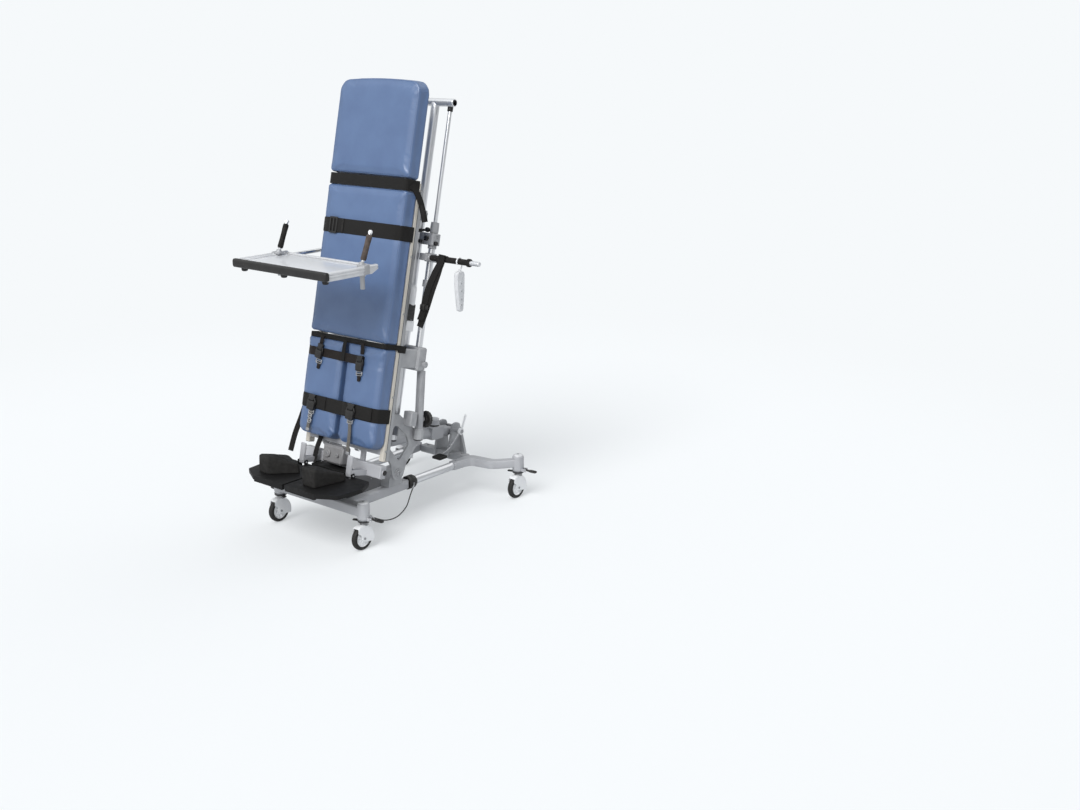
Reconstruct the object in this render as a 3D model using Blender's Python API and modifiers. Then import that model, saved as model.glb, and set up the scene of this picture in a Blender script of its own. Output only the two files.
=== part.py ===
"""Tilt table: an upholstered lying surface that an actuator stands up on a wheeled base.

World frame: +X to the near side of the photograph, -Y to the foot end, +Z up, floor at
z = 0, in metres. Pieces of the lying surface are placed in its own frame: x across,
y along the surface towards the head (called s), z out of its front (called n).
"""

import math

import bmesh
import bpy
from mathutils import Matrix, Vector

# Gap that two separate pieces keep where they touch, and a running fit
GAP = 0.0003
FIT = 0.0006

# Lying surface
LIE_ANGLE = math.radians(77.0)
TILT_RANGE = (math.radians(-77.0), math.radians(5.0))
PAD_FOOT_Y = -0.432
PAD_FOOT_Z = 0.455
PIVOT_Y = -0.215
PIVOT_Z = 0.300
PAD_WIDTH = 0.580
PAD_THICK = 0.080
HEAD_PAD_S = (1.385, 1.880)
TORSO_PAD_S = (0.558, 1.333)
LEG_PAD_S = (0.020, 0.545)
LEG_SPLIT = 0.012
LEG_NOTCH = 0.034
HEAD_CORNER = 0.070
LEG_CORNER = 0.050
PAD_CORNER = 0.024
HEAD_ARCH = 0.014

# Frame behind the pads
PROFILE_WIDE = 0.028
PROFILE_X = PAD_WIDTH / 2 - PROFILE_WIDE / 2
PROFILE_DEEP = 0.036
PROFILE_S = (-0.030, 1.340)
CROSSBAR_S = (0.022, 0.300, 0.722, 1.010, 1.290)
CROSSBAR_WIDE = 0.045
CROSSBAR_DEEP = 0.022
HEAD_RAIL_X = 0.130
HEAD_RAIL_S = (1.275, 1.850)

# Masts, push bar, side columns and their rods
MAST_X = 0.170
MAST_N = -0.250
MAST_RADIUS = 0.0250
MAST_S = (0.060, 1.250)
INNER_RADIUS = 0.0215
INNER_FOOT_S = 0.900
PUSH_S = 1.800
PUSH_HALF = 0.300
PUSH_RADIUS = 0.0200
PUSH_TRAVEL = 0.250
ROD_X = 0.260
ROD_N = -0.266
ROD_RADIUS = 0.0100
ROD_FOOT_S = 1.050
COLUMN_RADIUS = 0.0175
CROSS_BRACKET_S = (0.440, 0.560)
HEAD_BLOCK_S = (1.065, 1.200)

# Swing brackets: side plates on the tilt pins, each with its brace
SWING_X = 0.243
SWING_THICK = 0.014
PIN_RADIUS = 0.012
BRACE_X = 0.270
BRACE_RADIUS = 0.0225
BRACE_FOOT = (0.085, -0.340)
BRACE_HEAD = (0.520, -0.287)
WHEEL_S = 0.185
WHEEL_N = -0.356

# Tilt actuator, from the rear upright to the lugs under the lying surface
LEVER_RADIUS = 0.110
LEVER_ANGLE = math.radians(110.0)
LUG_X = 0.026
LUG_THICK = 0.010
LUG_PIN = 0.008
ACT_REAR_Y = 0.450
ACT_REAR_Z = 0.330
ACT_LENGTH = 0.490
ACT_RADIUS = 0.030
ACT_ROD_RADIUS = 0.0125
ACT_BORE = 0.290
ACT_STROKE = 0.135
ACT_END_ROOM = 0.003
MOTOR_BACK = 0.140
MOTOR_RADIUS = 0.033

# Base
RAIL_X = 0.190
RAIL_WIDE = 0.050
RAIL_Z = (0.175, 0.225)
BAR_Y = (-0.560, -0.500)
BAR_Z = (0.172, 0.227)
FRONT_POST = (0.315, -0.530)
REAR_POST = (0.440, 0.530)
POST_RADIUS = 0.032
POST_Z = (0.152, 0.243)
COLLAR_Y = (-0.100, -0.052)
COLLAR_RADIUS = 0.036
TUBE_RADIUS = 0.0225
TUBE_END_Y = 0.258
ELBOWS = ((0.190, 0.2585), (0.200, 0.400), (0.345, 0.420), REAR_POST)
CRANK_TOP = 0.2225
PLATE_Y = (-0.499, -0.260)
PLATE_Z = (0.176, 0.184)
BLOCK_OUT = 0.228
REAR_BEAM_Y = (0.385, 0.435)
ARCH_HALF = 0.095
ARCH_TOP = 0.378

# Casters
WHEEL_RADIUS = 0.0625
WHEEL_WIDE = 0.030
SHELL_RADIUS = 0.0705
SHELL_ROOM = 0.0660
SHELL_HALF = 0.0210
SHELL_WALL = 0.004
TRAIL = 0.018
HUB_BOSS = 0.015
SWIVEL_RADIUS = 0.022
PEDAL_OUT = 0.044
PEDAL_LENGTH = 0.066

# Foot carrier, footplates and foot blocks
FOOT_BEAM_S = (-0.120, -0.054)
FOOT_BEAM_N = (-0.116, -0.072)
FOOT_BEAM_HALF = 0.290
HANGER_X = 0.175
HANGER_WIDE = 0.040
HANGER_THICK = 0.012
HINGE_Y = -0.486
HINGE_Z = 0.3465
HINGE_RADIUS = 0.010
PLATE_TOP = 0.335
PLATE_THICK = 0.021
FOOT_INNER = 0.006
FOOT_FRONT = -0.771
FOOT_REAR = -0.472

# Tray
TRAY_HALF = 0.335
TRAY_Y = (-0.705, -0.387)
TRAY_Z = (1.398, 1.424)
CHANNEL_WIDE = 0.034
BUMPER_DEEP = 0.024
GRIP_X = 0.300
GRIP_Y = (-0.462, -0.398)
GRIP_Z = (1.300, 1.575)
CARRIER_S = 0.980
ARM_X = -0.352
ARM_Z = 1.392
ARM_RADIUS = 0.010
TRAY_HINGE_Y = -0.400

# Side bar, hand control and straps
SIDE_S = 1.020
SIDE_N = -0.215
SIDE_END = 0.635
SIDE_RADIUS = 0.012
WEB_THICK = 0.003
CHEST_S = (1.080, 1.155)
KNEE_S = (0.395, 0.440)
KNEE_BUCKLES = (-0.150, 0.130)
NARROW_S = 0.524
NARROW_WIDE = 0.022
ANKLE_S = (0.165, 0.235)

COS = math.cos(LIE_ANGLE)
SIN = math.sin(LIE_ANGLE)
SIDES = (("left", -1), ("right", 1))


def clear_scene():
    for obj in list(bpy.data.objects):
        bpy.data.objects.remove(obj, do_unlink=True)


def new_collection(name):
    found = bpy.data.collections.new(name)
    bpy.context.scene.collection.children.link(found)
    return found


def new_material(name, color, roughness, metallic=0.0):
    material = bpy.data.materials.new(name)
    material.use_nodes = True
    shader = material.node_tree.nodes["Principled BSDF"]
    shader.inputs["Base Color"].default_value = (*color, 1.0)
    shader.inputs["Roughness"].default_value = roughness
    shader.inputs["Metallic"].default_value = metallic
    material.diffuse_color = (*color, 1.0)
    return material


clear_scene()
TABLE = new_collection("tilt_table")
HELPERS = new_collection("cutters")
PAINT = new_material("grey_painted_steel", (0.42, 0.42, 0.44), 0.38)
CAST = new_material("grey_cast_aluminium", (0.36, 0.36, 0.37), 0.45)
SILVER = new_material("silver_anodised_tube", (0.66, 0.66, 0.67), 0.30, 0.6)
CHROME = new_material("chromed_steel", (0.72, 0.72, 0.73), 0.14, 1.0)
CREAM = new_material("cream_edge_profile", (0.62, 0.58, 0.52), 0.45)
VINYL = new_material("blue_upholstery", (0.13, 0.21, 0.42), 0.48)
WEB = new_material("black_webbing", (0.012, 0.012, 0.012), 0.75)
BLACK = new_material("black_plastic", (0.018, 0.018, 0.018), 0.45)
FOAM = new_material("black_foam", (0.020, 0.020, 0.020), 0.85)
DARK = new_material("dark_grey_plate", (0.10, 0.10, 0.105), 0.55)
WHITE = new_material("white_plastic", (0.75, 0.75, 0.76), 0.35)
RUBBER = new_material("tyre_rubber", (0.015, 0.015, 0.015), 0.70)


def add_empty(name, location, parent=None, rotation=(0.0, 0.0, 0.0)):
    empty = bpy.data.objects.new(name, None)
    TABLE.objects.link(empty)
    empty.empty_display_size = 0.05
    empty.parent = parent
    empty.location = location
    empty.rotation_euler = rotation
    return empty


def add_object(name, mesh, material, parent, helper):
    """One named object; a helper only cuts or joins, and isn't part of the table."""
    obj = bpy.data.objects.new(name, mesh)
    (HELPERS if helper else TABLE).objects.link(obj)
    obj.parent = parent
    if material:
        mesh.materials.clear()
        mesh.materials.append(material)
    if helper:
        obj.hide_render = True
        obj.display_type = "WIRE"
    return obj


def mesh_from(bm, name):
    mesh = bpy.data.meshes.new(name)
    bm.to_mesh(mesh)
    bm.free()
    return mesh


def shade(obj, angle=35.0):
    obj.data.shade_smooth()
    obj.data.set_sharp_from_angle(angle=math.radians(angle))
    return obj


def bevel(obj, width, segments=1, angle=30.0):
    modifier = obj.modifiers.new("rounded_edges", "BEVEL")
    modifier.width = width
    modifier.segments = segments
    modifier.limit_method = "ANGLE"
    modifier.angle_limit = math.radians(angle)
    modifier.use_clamp_overlap = True
    return obj


def block(name, low, high, material=None, parent=None, edge=0.0, segments=1, helper=False):
    """A box between two corners, with rounded edges where edge is given."""
    bm = bmesh.new()
    bmesh.ops.create_cube(bm, size=1.0)
    bmesh.ops.scale(bm, vec=[b - a for a, b in zip(low, high)], verts=bm.verts)
    obj = add_object(name, mesh_from(bm, name), material, parent, helper)
    obj.location = [(a + b) / 2 for a, b in zip(low, high)]
    if edge:
        bevel(obj, edge, segments)
    return obj


def turn_to(axis):
    """The rotation that takes +Z to the given direction."""
    return Vector((0, 0, 1)).rotation_difference(Vector(axis).normalized())


def cylinder(name, start, end, radius, material=None, parent=None, sides=12, edge=0.0,
             end_radius=None, helper=False):
    """A round bar between two points, or a cone where the end's radius is given too."""
    start, end = Vector(start), Vector(end)
    bm = bmesh.new()
    bmesh.ops.create_cone(
        bm, cap_ends=True, segments=sides, radius1=radius,
        radius2=radius if end_radius is None else end_radius, depth=(end - start).length)
    obj = add_object(name, mesh_from(bm, name), material, parent, helper)
    obj.location = (start + end) / 2
    obj.rotation_mode = "QUATERNION"
    obj.rotation_quaternion = turn_to(end - start)
    if edge:
        bevel(obj, edge, 1, 60.0)
    return shade(obj)


def ball(name, center, radius, material=None, parent=None, helper=False):
    bm = bmesh.new()
    bmesh.ops.create_uvsphere(bm, u_segments=10, v_segments=6, radius=radius)
    obj = add_object(name, mesh_from(bm, name), material, parent, helper)
    obj.location = center
    return shade(obj, 60.0)


def turned(name, profile, center, axis, material=None, parent=None, steps=18, helper=False):
    """A turned shape: (radius, height) from the top of its outer side to the bottom."""
    mesh = bpy.data.meshes.new(name)
    points = [(radius, 0.0, height) for radius, height in profile]
    mesh.from_pydata(points, [(i, i + 1) for i in range(len(points) - 1)], [])
    obj = add_object(name, mesh, material, parent, helper)
    obj.location = center
    obj.rotation_mode = "QUATERNION"
    obj.rotation_quaternion = turn_to(axis)
    screw = obj.modifiers.new("turned", "SCREW")
    screw.axis = "Z"
    screw.steps = steps
    screw.render_steps = steps
    screw.use_merge_vertices = True
    screw.merge_threshold = 0.00001
    screw.use_smooth_shade = True
    return obj


def rounded(corners, segments=2):
    """An outline from (x, y, radius) corners, each turned into an arc."""
    points = []
    count = len(corners)
    for i, (x, y, radius) in enumerate(corners):
        here = Vector((x, y))
        before = (Vector(corners[i - 1][:2]) - here).normalized()
        after = (Vector(corners[(i + 1) % count][:2]) - here).normalized()
        half = before.angle(after) / 2
        if radius <= 0 or half > math.radians(88):
            points.append(here)
            continue
        reach = radius / math.tan(half)
        center = here + (before + after).normalized() * radius / math.sin(half)
        first = here + before * reach - center
        sweep = first.angle_signed(here + after * reach - center)
        for k in range(segments + 1):
            turn = Matrix.Rotation(-sweep * k / segments, 2)
            points.append(center + turn @ first)
    return [tuple(p) for p in points]


def flat(name, outline, thick, frame, material=None, parent=None, edge=0.0, helper=False):
    """A flat outline of the given thickness; frame places its plane and its middle."""
    curve = bpy.data.curves.new(name, "CURVE")
    curve.dimensions = "2D"
    curve.fill_mode = "BOTH"
    curve.extrude = thick / 2
    spline = curve.splines.new("POLY")
    spline.points.add(len(outline) - 1)
    for point, (x, y) in zip(spline.points, outline):
        point.co = (x, y, 0.0, 1.0)
    spline.use_cyclic_u = True
    obj = solid_of_curve(name, curve, material, parent, helper)
    obj.rotation_mode = "QUATERNION"
    obj.location = frame.to_translation()
    obj.rotation_quaternion = frame.to_quaternion()
    if edge:
        bevel(obj, edge, 1, 50.0)
    return obj


def solid_of_curve(name, curve, material, parent, helper):
    """The mesh that a curve makes, with its loose caps welded on."""
    source = bpy.data.objects.new(name + "_curve", curve)
    HELPERS.objects.link(source)
    bpy.context.view_layer.update()
    graph = bpy.context.evaluated_depsgraph_get()
    mesh = bpy.data.meshes.new_from_object(source.evaluated_get(graph))
    bpy.data.objects.remove(source, do_unlink=True)
    bm = bmesh.new()
    bm.from_mesh(mesh)
    bmesh.ops.remove_doubles(bm, verts=bm.verts, dist=0.00002)
    bmesh.ops.recalc_face_normals(bm, faces=bm.faces)
    bm.to_mesh(mesh)
    bm.free()
    return add_object(name, mesh, material, parent, helper)


def bent_tube(name, points, radius, material=None, parent=None, sides=2, helper=False):
    """A round tube or cord along the given points."""
    curve = bpy.data.curves.new(name, "CURVE")
    curve.dimensions = "3D"
    curve.bevel_depth = radius
    curve.bevel_resolution = sides
    curve.use_fill_caps = True
    spline = curve.splines.new("POLY")
    spline.points.add(len(points) - 1)
    for point, place in zip(spline.points, points):
        point.co = (*place, 1.0)
    return shade(solid_of_curve(name, curve, material, parent, helper), 40.0)


def smooth_route(points, steps):
    """Points on one smooth curve through the route's own points."""
    points = [Vector(p) for p in points]
    ends = [points[0] * 2 - points[1], *points, points[-1] * 2 - points[-2]]
    found = []
    for i in range(1, len(ends) - 2):
        a, b, c, d = ends[i - 1:i + 3]
        for k in range(steps):
            t = k / steps
            found.append(0.5 * (2 * b + (c - a) * t + (2 * a - 5 * b + 4 * c - d) * t ** 2
                                + (3 * b - a - 3 * c + d) * t ** 3))
    return [*found, points[-1]]


def ribbon(name, stations, width, thick, material=None, parent=None, helper=False):
    """A flat band through (centre, direction of its width, outward face) stations."""
    bm = bmesh.new()
    rings = []
    for center, across, out in stations:
        center = Vector(center)
        across = Vector(across).normalized() * width / 2
        out = Vector(out).normalized() * thick
        corners = (center - across, center + across, center + across + out, center - across + out)
        rings.append([bm.verts.new(corner) for corner in corners])
    for first, second in zip(rings, rings[1:]):
        for k in range(4):
            bm.faces.new((first[k], first[k - 3], second[k - 3], second[k]))
    bm.faces.new(rings[0][::-1])
    bm.faces.new(rings[-1])
    bmesh.ops.recalc_face_normals(bm, faces=bm.faces)
    return add_object(name, mesh_from(bm, name), material, parent, helper)


def combine(target, operation, others):
    for other in others:
        modifier = target.modifiers.new(operation.lower(), "BOOLEAN")
        modifier.operation = operation
        modifier.object = other
        modifier.solver = "EXACT"
    return target


def join(target, *others):
    return combine(target, "UNION", others)


def cut(target, *others):
    return combine(target, "DIFFERENCE", others)


def on_surface(y, z):
    """World y and z as s and n of the lying surface."""
    dy, dz = y - PAD_FOOT_Y, z - PAD_FOOT_Z
    return dy * COS + dz * SIN, -dy * SIN + dz * COS


def across_frame(x):
    """A plane across X: the outline's first value runs along Y and its second along Z."""
    return Matrix.Translation((x, 0.0, 0.0)) @ Matrix(
        ((0, 0, 1, 0), (1, 0, 0, 0), (0, 1, 0, 0), (0, 0, 0, 1)))


def span(sign, near, far):
    """The low and high x of something between two distances from the middle."""
    return sorted((sign * near, sign * far))


PIVOT_S, PIVOT_N = on_surface(PIVOT_Y, PIVOT_Z)
LEVER_Y = PIVOT_Y + LEVER_RADIUS * math.cos(LEVER_ANGLE)
LEVER_Z = PIVOT_Z + LEVER_RADIUS * math.sin(LEVER_ANGLE)
LEVER_S, LEVER_N = on_surface(LEVER_Y, LEVER_Z)

# The lying surface turns about the tilt axis, and its pieces hang on the empty surface.
tilt_axis = add_empty("tilt_axis", (0.0, PIVOT_Y, PIVOT_Z), rotation=(LIE_ANGLE, 0.0, 0.0))
surface = add_empty("lying_surface", (0.0, -PIVOT_S, -PIVOT_N), tilt_axis)
BACK = -PAD_THICK - GAP
UNDER_PROFILE = BACK - PROFILE_DEEP - GAP


# Pads
def cushion(name, outline, crown=0.010):
    """A crowned pad: rings of the outline, drawn in at its back, its sides and its front."""
    center = sum((Vector(p) for p in outline), Vector((0.0, 0.0))) / len(outline)
    count = len(outline)
    inward = []
    for i in range(count):
        along = Vector(outline[(i + 1) % count]) - Vector(outline[i - 1])
        inward.append(Vector((-along.y, along.x)).normalized())
    levels = (
        (-PAD_THICK, 0.006), (-PAD_THICK + 0.0010, 0.003), (-0.022, 0.000),
        (-crown * 0.8, 0.006), (-crown * 0.35, 0.028))
    bm = bmesh.new()
    rings = []
    for height, inset in levels:
        places = [Vector(p) + d * inset for p, d in zip(outline, inward)]
        rings.append([bm.verts.new((*place, height)) for place in places])
    inner = [center + (Vector(p) - center) * 0.5 for p in outline]
    rings.append([bm.verts.new((*place, 0.0)) for place in inner])
    for first, second in zip(rings, rings[1:]):
        for k in range(count):
            bm.faces.new((first[k], first[(k + 1) % count], second[(k + 1) % count], second[k]))
    bm.faces.new(rings[-1])
    bm.faces.new(rings[0][::-1])
    bmesh.ops.recalc_face_normals(bm, faces=bm.faces)
    obj = add_object(name, mesh_from(bm, name), VINYL, surface, False)
    subdivision = obj.modifiers.new("soft_form", "SUBSURF")
    subdivision.levels = 1
    subdivision.render_levels = 1
    return shade(obj, 60.0)


def with_middles(outline, longest=0.60):
    """The outline with points added along its long straight stretches."""
    found = []
    for i, point in enumerate(outline):
        after = Vector(outline[(i + 1) % len(outline)])
        here = Vector(point)
        parts = max(1, round((after - here).length / longest))
        found += [tuple(here.lerp(after, k / parts)) for k in range(parts)]
    return found


def make_pads():
    half = PAD_WIDTH / 2
    low, high = HEAD_PAD_S
    shoulder = high - HEAD_ARCH
    arch = [(half * k / 4, high - HEAD_ARCH * (k / 4) ** 2, 0.0) for k in (2, 0, -2)]
    head = rounded([
        (-half, low, PAD_CORNER), (half, low, PAD_CORNER), (half, shoulder, HEAD_CORNER),
        *arch, (-half, shoulder, HEAD_CORNER)])
    cushion("head_pad", with_middles(head))
    low, high = TORSO_PAD_S
    torso = rounded([
        (-half, low, PAD_CORNER), (half, low, PAD_CORNER),
        (half, high, PAD_CORNER), (-half, high, PAD_CORNER)])
    cushion("torso_pad", with_middles(torso))
    low, high = LEG_PAD_S
    for side, sign in SIDES:
        inner = LEG_SPLIT / 2
        leg = rounded([
            (inner, low + LEG_NOTCH, 0.012), (inner + LEG_NOTCH, low, 0.020),
            (half, low, LEG_CORNER), (half, high, PAD_CORNER), (inner, high, 0.012)])
        leg = [(x * sign, y) for x, y in leg][::sign]
        cushion(f"leg_pad_{side}", with_middles(leg), crown=0.014)


# Frame behind the pads
def make_lying_frame():
    """Two edge profiles, the bars across them, the head rails and the actuator's lugs."""
    low, high = PROFILE_S
    edges = {}
    for side, sign in SIDES:
        x = span(sign, PROFILE_X - PROFILE_WIDE / 2, PROFILE_X + PROFILE_WIDE / 2)
        edges[side] = block(f"edge_{side}", (x[0], low, BACK - PROFILE_DEEP), (x[1], high, BACK),
                            CREAM, surface, helper=side == "left")
    frame = edges["right"]
    frame.name = "lying_frame"
    parts = [edges["left"]]
    reach = PROFILE_X - PROFILE_WIDE / 2 + 0.006
    for s in CROSSBAR_S:
        parts.append(block(
            "crossbar", (-reach, s - CROSSBAR_WIDE / 2, BACK - CROSSBAR_DEEP),
            (reach, s + CROSSBAR_WIDE / 2, BACK - 0.0005), parent=surface, helper=True))
    for sign in (-1, 1):
        x = span(sign, HEAD_RAIL_X - 0.020, HEAD_RAIL_X + 0.020)
        parts.append(block("head_rail", (x[0], HEAD_RAIL_S[0], BACK - CROSSBAR_DEEP + 0.003),
                           (x[1], HEAD_RAIL_S[1], BACK), parent=surface, helper=True))
        x = span(sign, LUG_X - LUG_THICK / 2, LUG_X + LUG_THICK / 2)
        lug = flat("actuator_lug", rounded([
            (CROSSBAR_S[0] - 0.020, BACK - 0.006, 0.0), (CROSSBAR_S[0] + 0.020, BACK - 0.006, 0.0),
            (LEVER_S + 0.020, LEVER_N - 0.016, 0.016), (LEVER_S - 0.016, LEVER_N - 0.018, 0.016)]),
            LUG_THICK, across_frame((x[0] + x[1]) / 2), parent=surface, helper=True)
        parts.append(lug)
    strap_s = (HEAD_PAD_S[0] + TORSO_PAD_S[1]) / 2
    edge = PROFILE_X + PROFILE_WIDE / 2
    parts.append(block("strap_bar", (-edge, strap_s - 0.014, BACK - 0.017),
                       (edge, strap_s + 0.014, BACK - 0.0015), parent=surface, helper=True))
    parts.append(block("head_bar", (-0.220, HEAD_RAIL_S[1] - 0.085, BACK - 0.016),
                       (0.220, HEAD_RAIL_S[1] - 0.045, BACK - 0.001), parent=surface, helper=True))
    parts.append(cylinder("lug_pin", (-LUG_X - 0.011, LEVER_S, LEVER_N),
                          (LUG_X + 0.011, LEVER_S, LEVER_N), LUG_PIN, parent=surface, sides=10,
                          helper=True))
    join(frame, *parts)


def make_masts():
    """Outer tubes with a bore in which the push bar's tubes slide."""
    low, high = MAST_S
    for side, sign in SIDES:
        mast = cylinder(f"mast_{side}", (sign * MAST_X, low, MAST_N),
                        (sign * MAST_X, high, MAST_N), MAST_RADIUS, SILVER, surface, sides=14)
        ring = cylinder("mast_clamp", (sign * MAST_X, high - 0.050, MAST_N),
                        (sign * MAST_X, high + 0.004, MAST_N), MAST_RADIUS + 0.005,
                        parent=surface, sides=14, helper=True)
        feet = []
        for s in (CROSSBAR_S[3], CROSSBAR_S[4] - 0.060):
            feet.append(block(
                "stand_off", (sign * MAST_X - 0.016, s - 0.018, MAST_N + 0.014),
                (sign * MAST_X + 0.016, s + 0.018, BACK - CROSSBAR_DEEP - GAP if
                 s == CROSSBAR_S[3] else MAST_N + 0.034), parent=surface, helper=True))
        bore = cylinder("mast_bore", (sign * MAST_X, INNER_FOOT_S - PUSH_TRAVEL - 0.020, MAST_N),
                        (sign * MAST_X, high + 0.020, MAST_N), INNER_RADIUS + FIT,
                        parent=surface, sides=14, helper=True)
        join(mast, ring, *feet)
        cut(mast, bore)


def make_push_handle():
    """The push bar with its sliding tubes and guide rods, one welded piece."""
    bar = cylinder("push_handle", (-PUSH_HALF, PUSH_S, MAST_N), (PUSH_HALF, PUSH_S, MAST_N),
                   PUSH_RADIUS, SILVER, surface, sides=10, edge=0.006)
    parts = []
    for sign in (-1, 1):
        parts.append(cylinder("inner_tube", (sign * MAST_X, INNER_FOOT_S, MAST_N),
                              (sign * MAST_X, PUSH_S + 0.004, MAST_N), INNER_RADIUS,
                              parent=surface, sides=14, helper=True))
        parts.append(cylinder("guide_rod", (sign * ROD_X, ROD_FOOT_S, ROD_N),
                              (sign * ROD_X, PUSH_S, ROD_N), ROD_RADIUS, parent=surface,
                              sides=8, helper=True))
        parts.append(cylinder("rod_collar", (sign * ROD_X, PUSH_S - 0.055, ROD_N),
                              (sign * ROD_X, PUSH_S - 0.010, ROD_N), ROD_RADIUS + 0.007,
                              parent=surface, sides=8, helper=True))
    join(bar, *parts)


def make_side_columns():
    """Columns beside the masts, bored for the guide rods."""
    low = CROSS_BRACKET_S[1] + GAP
    high = HEAD_BLOCK_S[0] - GAP
    for side, sign in SIDES:
        column = cylinder(f"side_column_{side}", (sign * ROD_X, low, ROD_N),
                          (sign * ROD_X, high, ROD_N), COLUMN_RADIUS, SILVER, surface, sides=10)
        bore = cylinder("column_bore", (sign * ROD_X, ROD_FOOT_S - PUSH_TRAVEL - 0.020, ROD_N),
                        (sign * ROD_X, high + 0.020, ROD_N), ROD_RADIUS + FIT, parent=surface,
                        sides=8, helper=True)
        if side == "right":
            ring = cylinder("stop_ring", (sign * ROD_X, 0.870, ROD_N),
                            (sign * ROD_X, 0.905, ROD_N), COLUMN_RADIUS + 0.007,
                            parent=surface, sides=10, helper=True)
            knob = cylinder("ring_knob", (sign * (ROD_X + 0.015), 0.8875, ROD_N),
                            (sign * (ROD_X + 0.046), 0.8875, ROD_N), 0.009, parent=surface,
                            sides=8, helper=True)
            join(column, ring, knob)
        cut(column, bore)


def make_column_heads():
    """Cast heads on the columns, each clamped to its mast, with a lever and a knob."""
    low, high = HEAD_BLOCK_S
    for side, sign in SIDES:
        x = span(sign, 0.199, ROD_X + 0.030)
        head = block(f"column_head_{side}", (x[0], low + 0.018, ROD_N - 0.026),
                     (x[1], low + 0.078, ROD_N + 0.034), CAST, surface, edge=0.006)
        neck = cylinder("head_neck", (sign * ROD_X, low, ROD_N), (sign * ROD_X, high, ROD_N),
                        0.022, parent=surface, sides=10, helper=True)
        lever = cylinder("head_lever", (sign * (ROD_X + 0.020), low + 0.050, ROD_N - 0.010),
                         (sign * (ROD_X + 0.052), low + 0.092, ROD_N - 0.030), 0.007,
                         parent=surface, sides=8, end_radius=0.009, helper=True)
        mast = cylinder("mast_room", (sign * MAST_X, low - 0.1, MAST_N),
                        (sign * MAST_X, high + 0.1, MAST_N), MAST_RADIUS + GAP, parent=surface,
                        sides=14, helper=True)
        bore = cylinder("head_bore", (sign * ROD_X, low - 0.020, ROD_N),
                        (sign * ROD_X, high + 0.020, ROD_N), ROD_RADIUS + FIT, parent=surface,
                        sides=8, helper=True)
        join(head, neck, lever)
        cut(head, mast, bore)


def make_cross_bracket():
    """The casting that ties the masts, the columns and the braces to the frame."""
    low, high = CROSS_BRACKET_S
    link = block("cross_bracket", (-0.200, low + 0.064, -0.150), (0.200, low + 0.106,
                                                                   UNDER_PROFILE - 0.004),
                 CAST, surface, edge=0.004)
    parts = []
    rooms = []
    for sign in (-1, 1):
        x = span(sign, 0.140, 0.298)
        parts.append(block("bracket_side", (x[0], low, ROD_N - 0.030),
                           (x[1], high, ROD_N + 0.036), parent=surface, edge=0.008,
                           helper=True))
        x = span(sign, 0.248, 0.288)
        parts.append(block("bracket_cheek", (x[0], low + 0.012, ROD_N),
                           (x[1], high - 0.012, UNDER_PROFILE), parent=surface, edge=0.004,
                           helper=True))
        x = span(sign, 0.150, 0.192)
        parts.append(block("bracket_web", (x[0], low + 0.030, ROD_N + 0.010),
                           (x[1], high - 0.010, UNDER_PROFILE - 0.002), parent=surface, helper=True))
        parts.append(cylinder("bracket_pin", (sign * 0.250, low + 0.035, ROD_N - 0.010),
                              (sign * 0.312, low + 0.035, ROD_N - 0.010), 0.014,
                              parent=surface, sides=10, helper=True))
        rooms.append(cylinder("mast_room", (sign * MAST_X, low - 0.1, MAST_N),
                              (sign * MAST_X, high + 0.1, MAST_N), MAST_RADIUS + GAP,
                              parent=surface, sides=14, helper=True))
    join(link, *parts)
    cut(link, *rooms)


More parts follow.
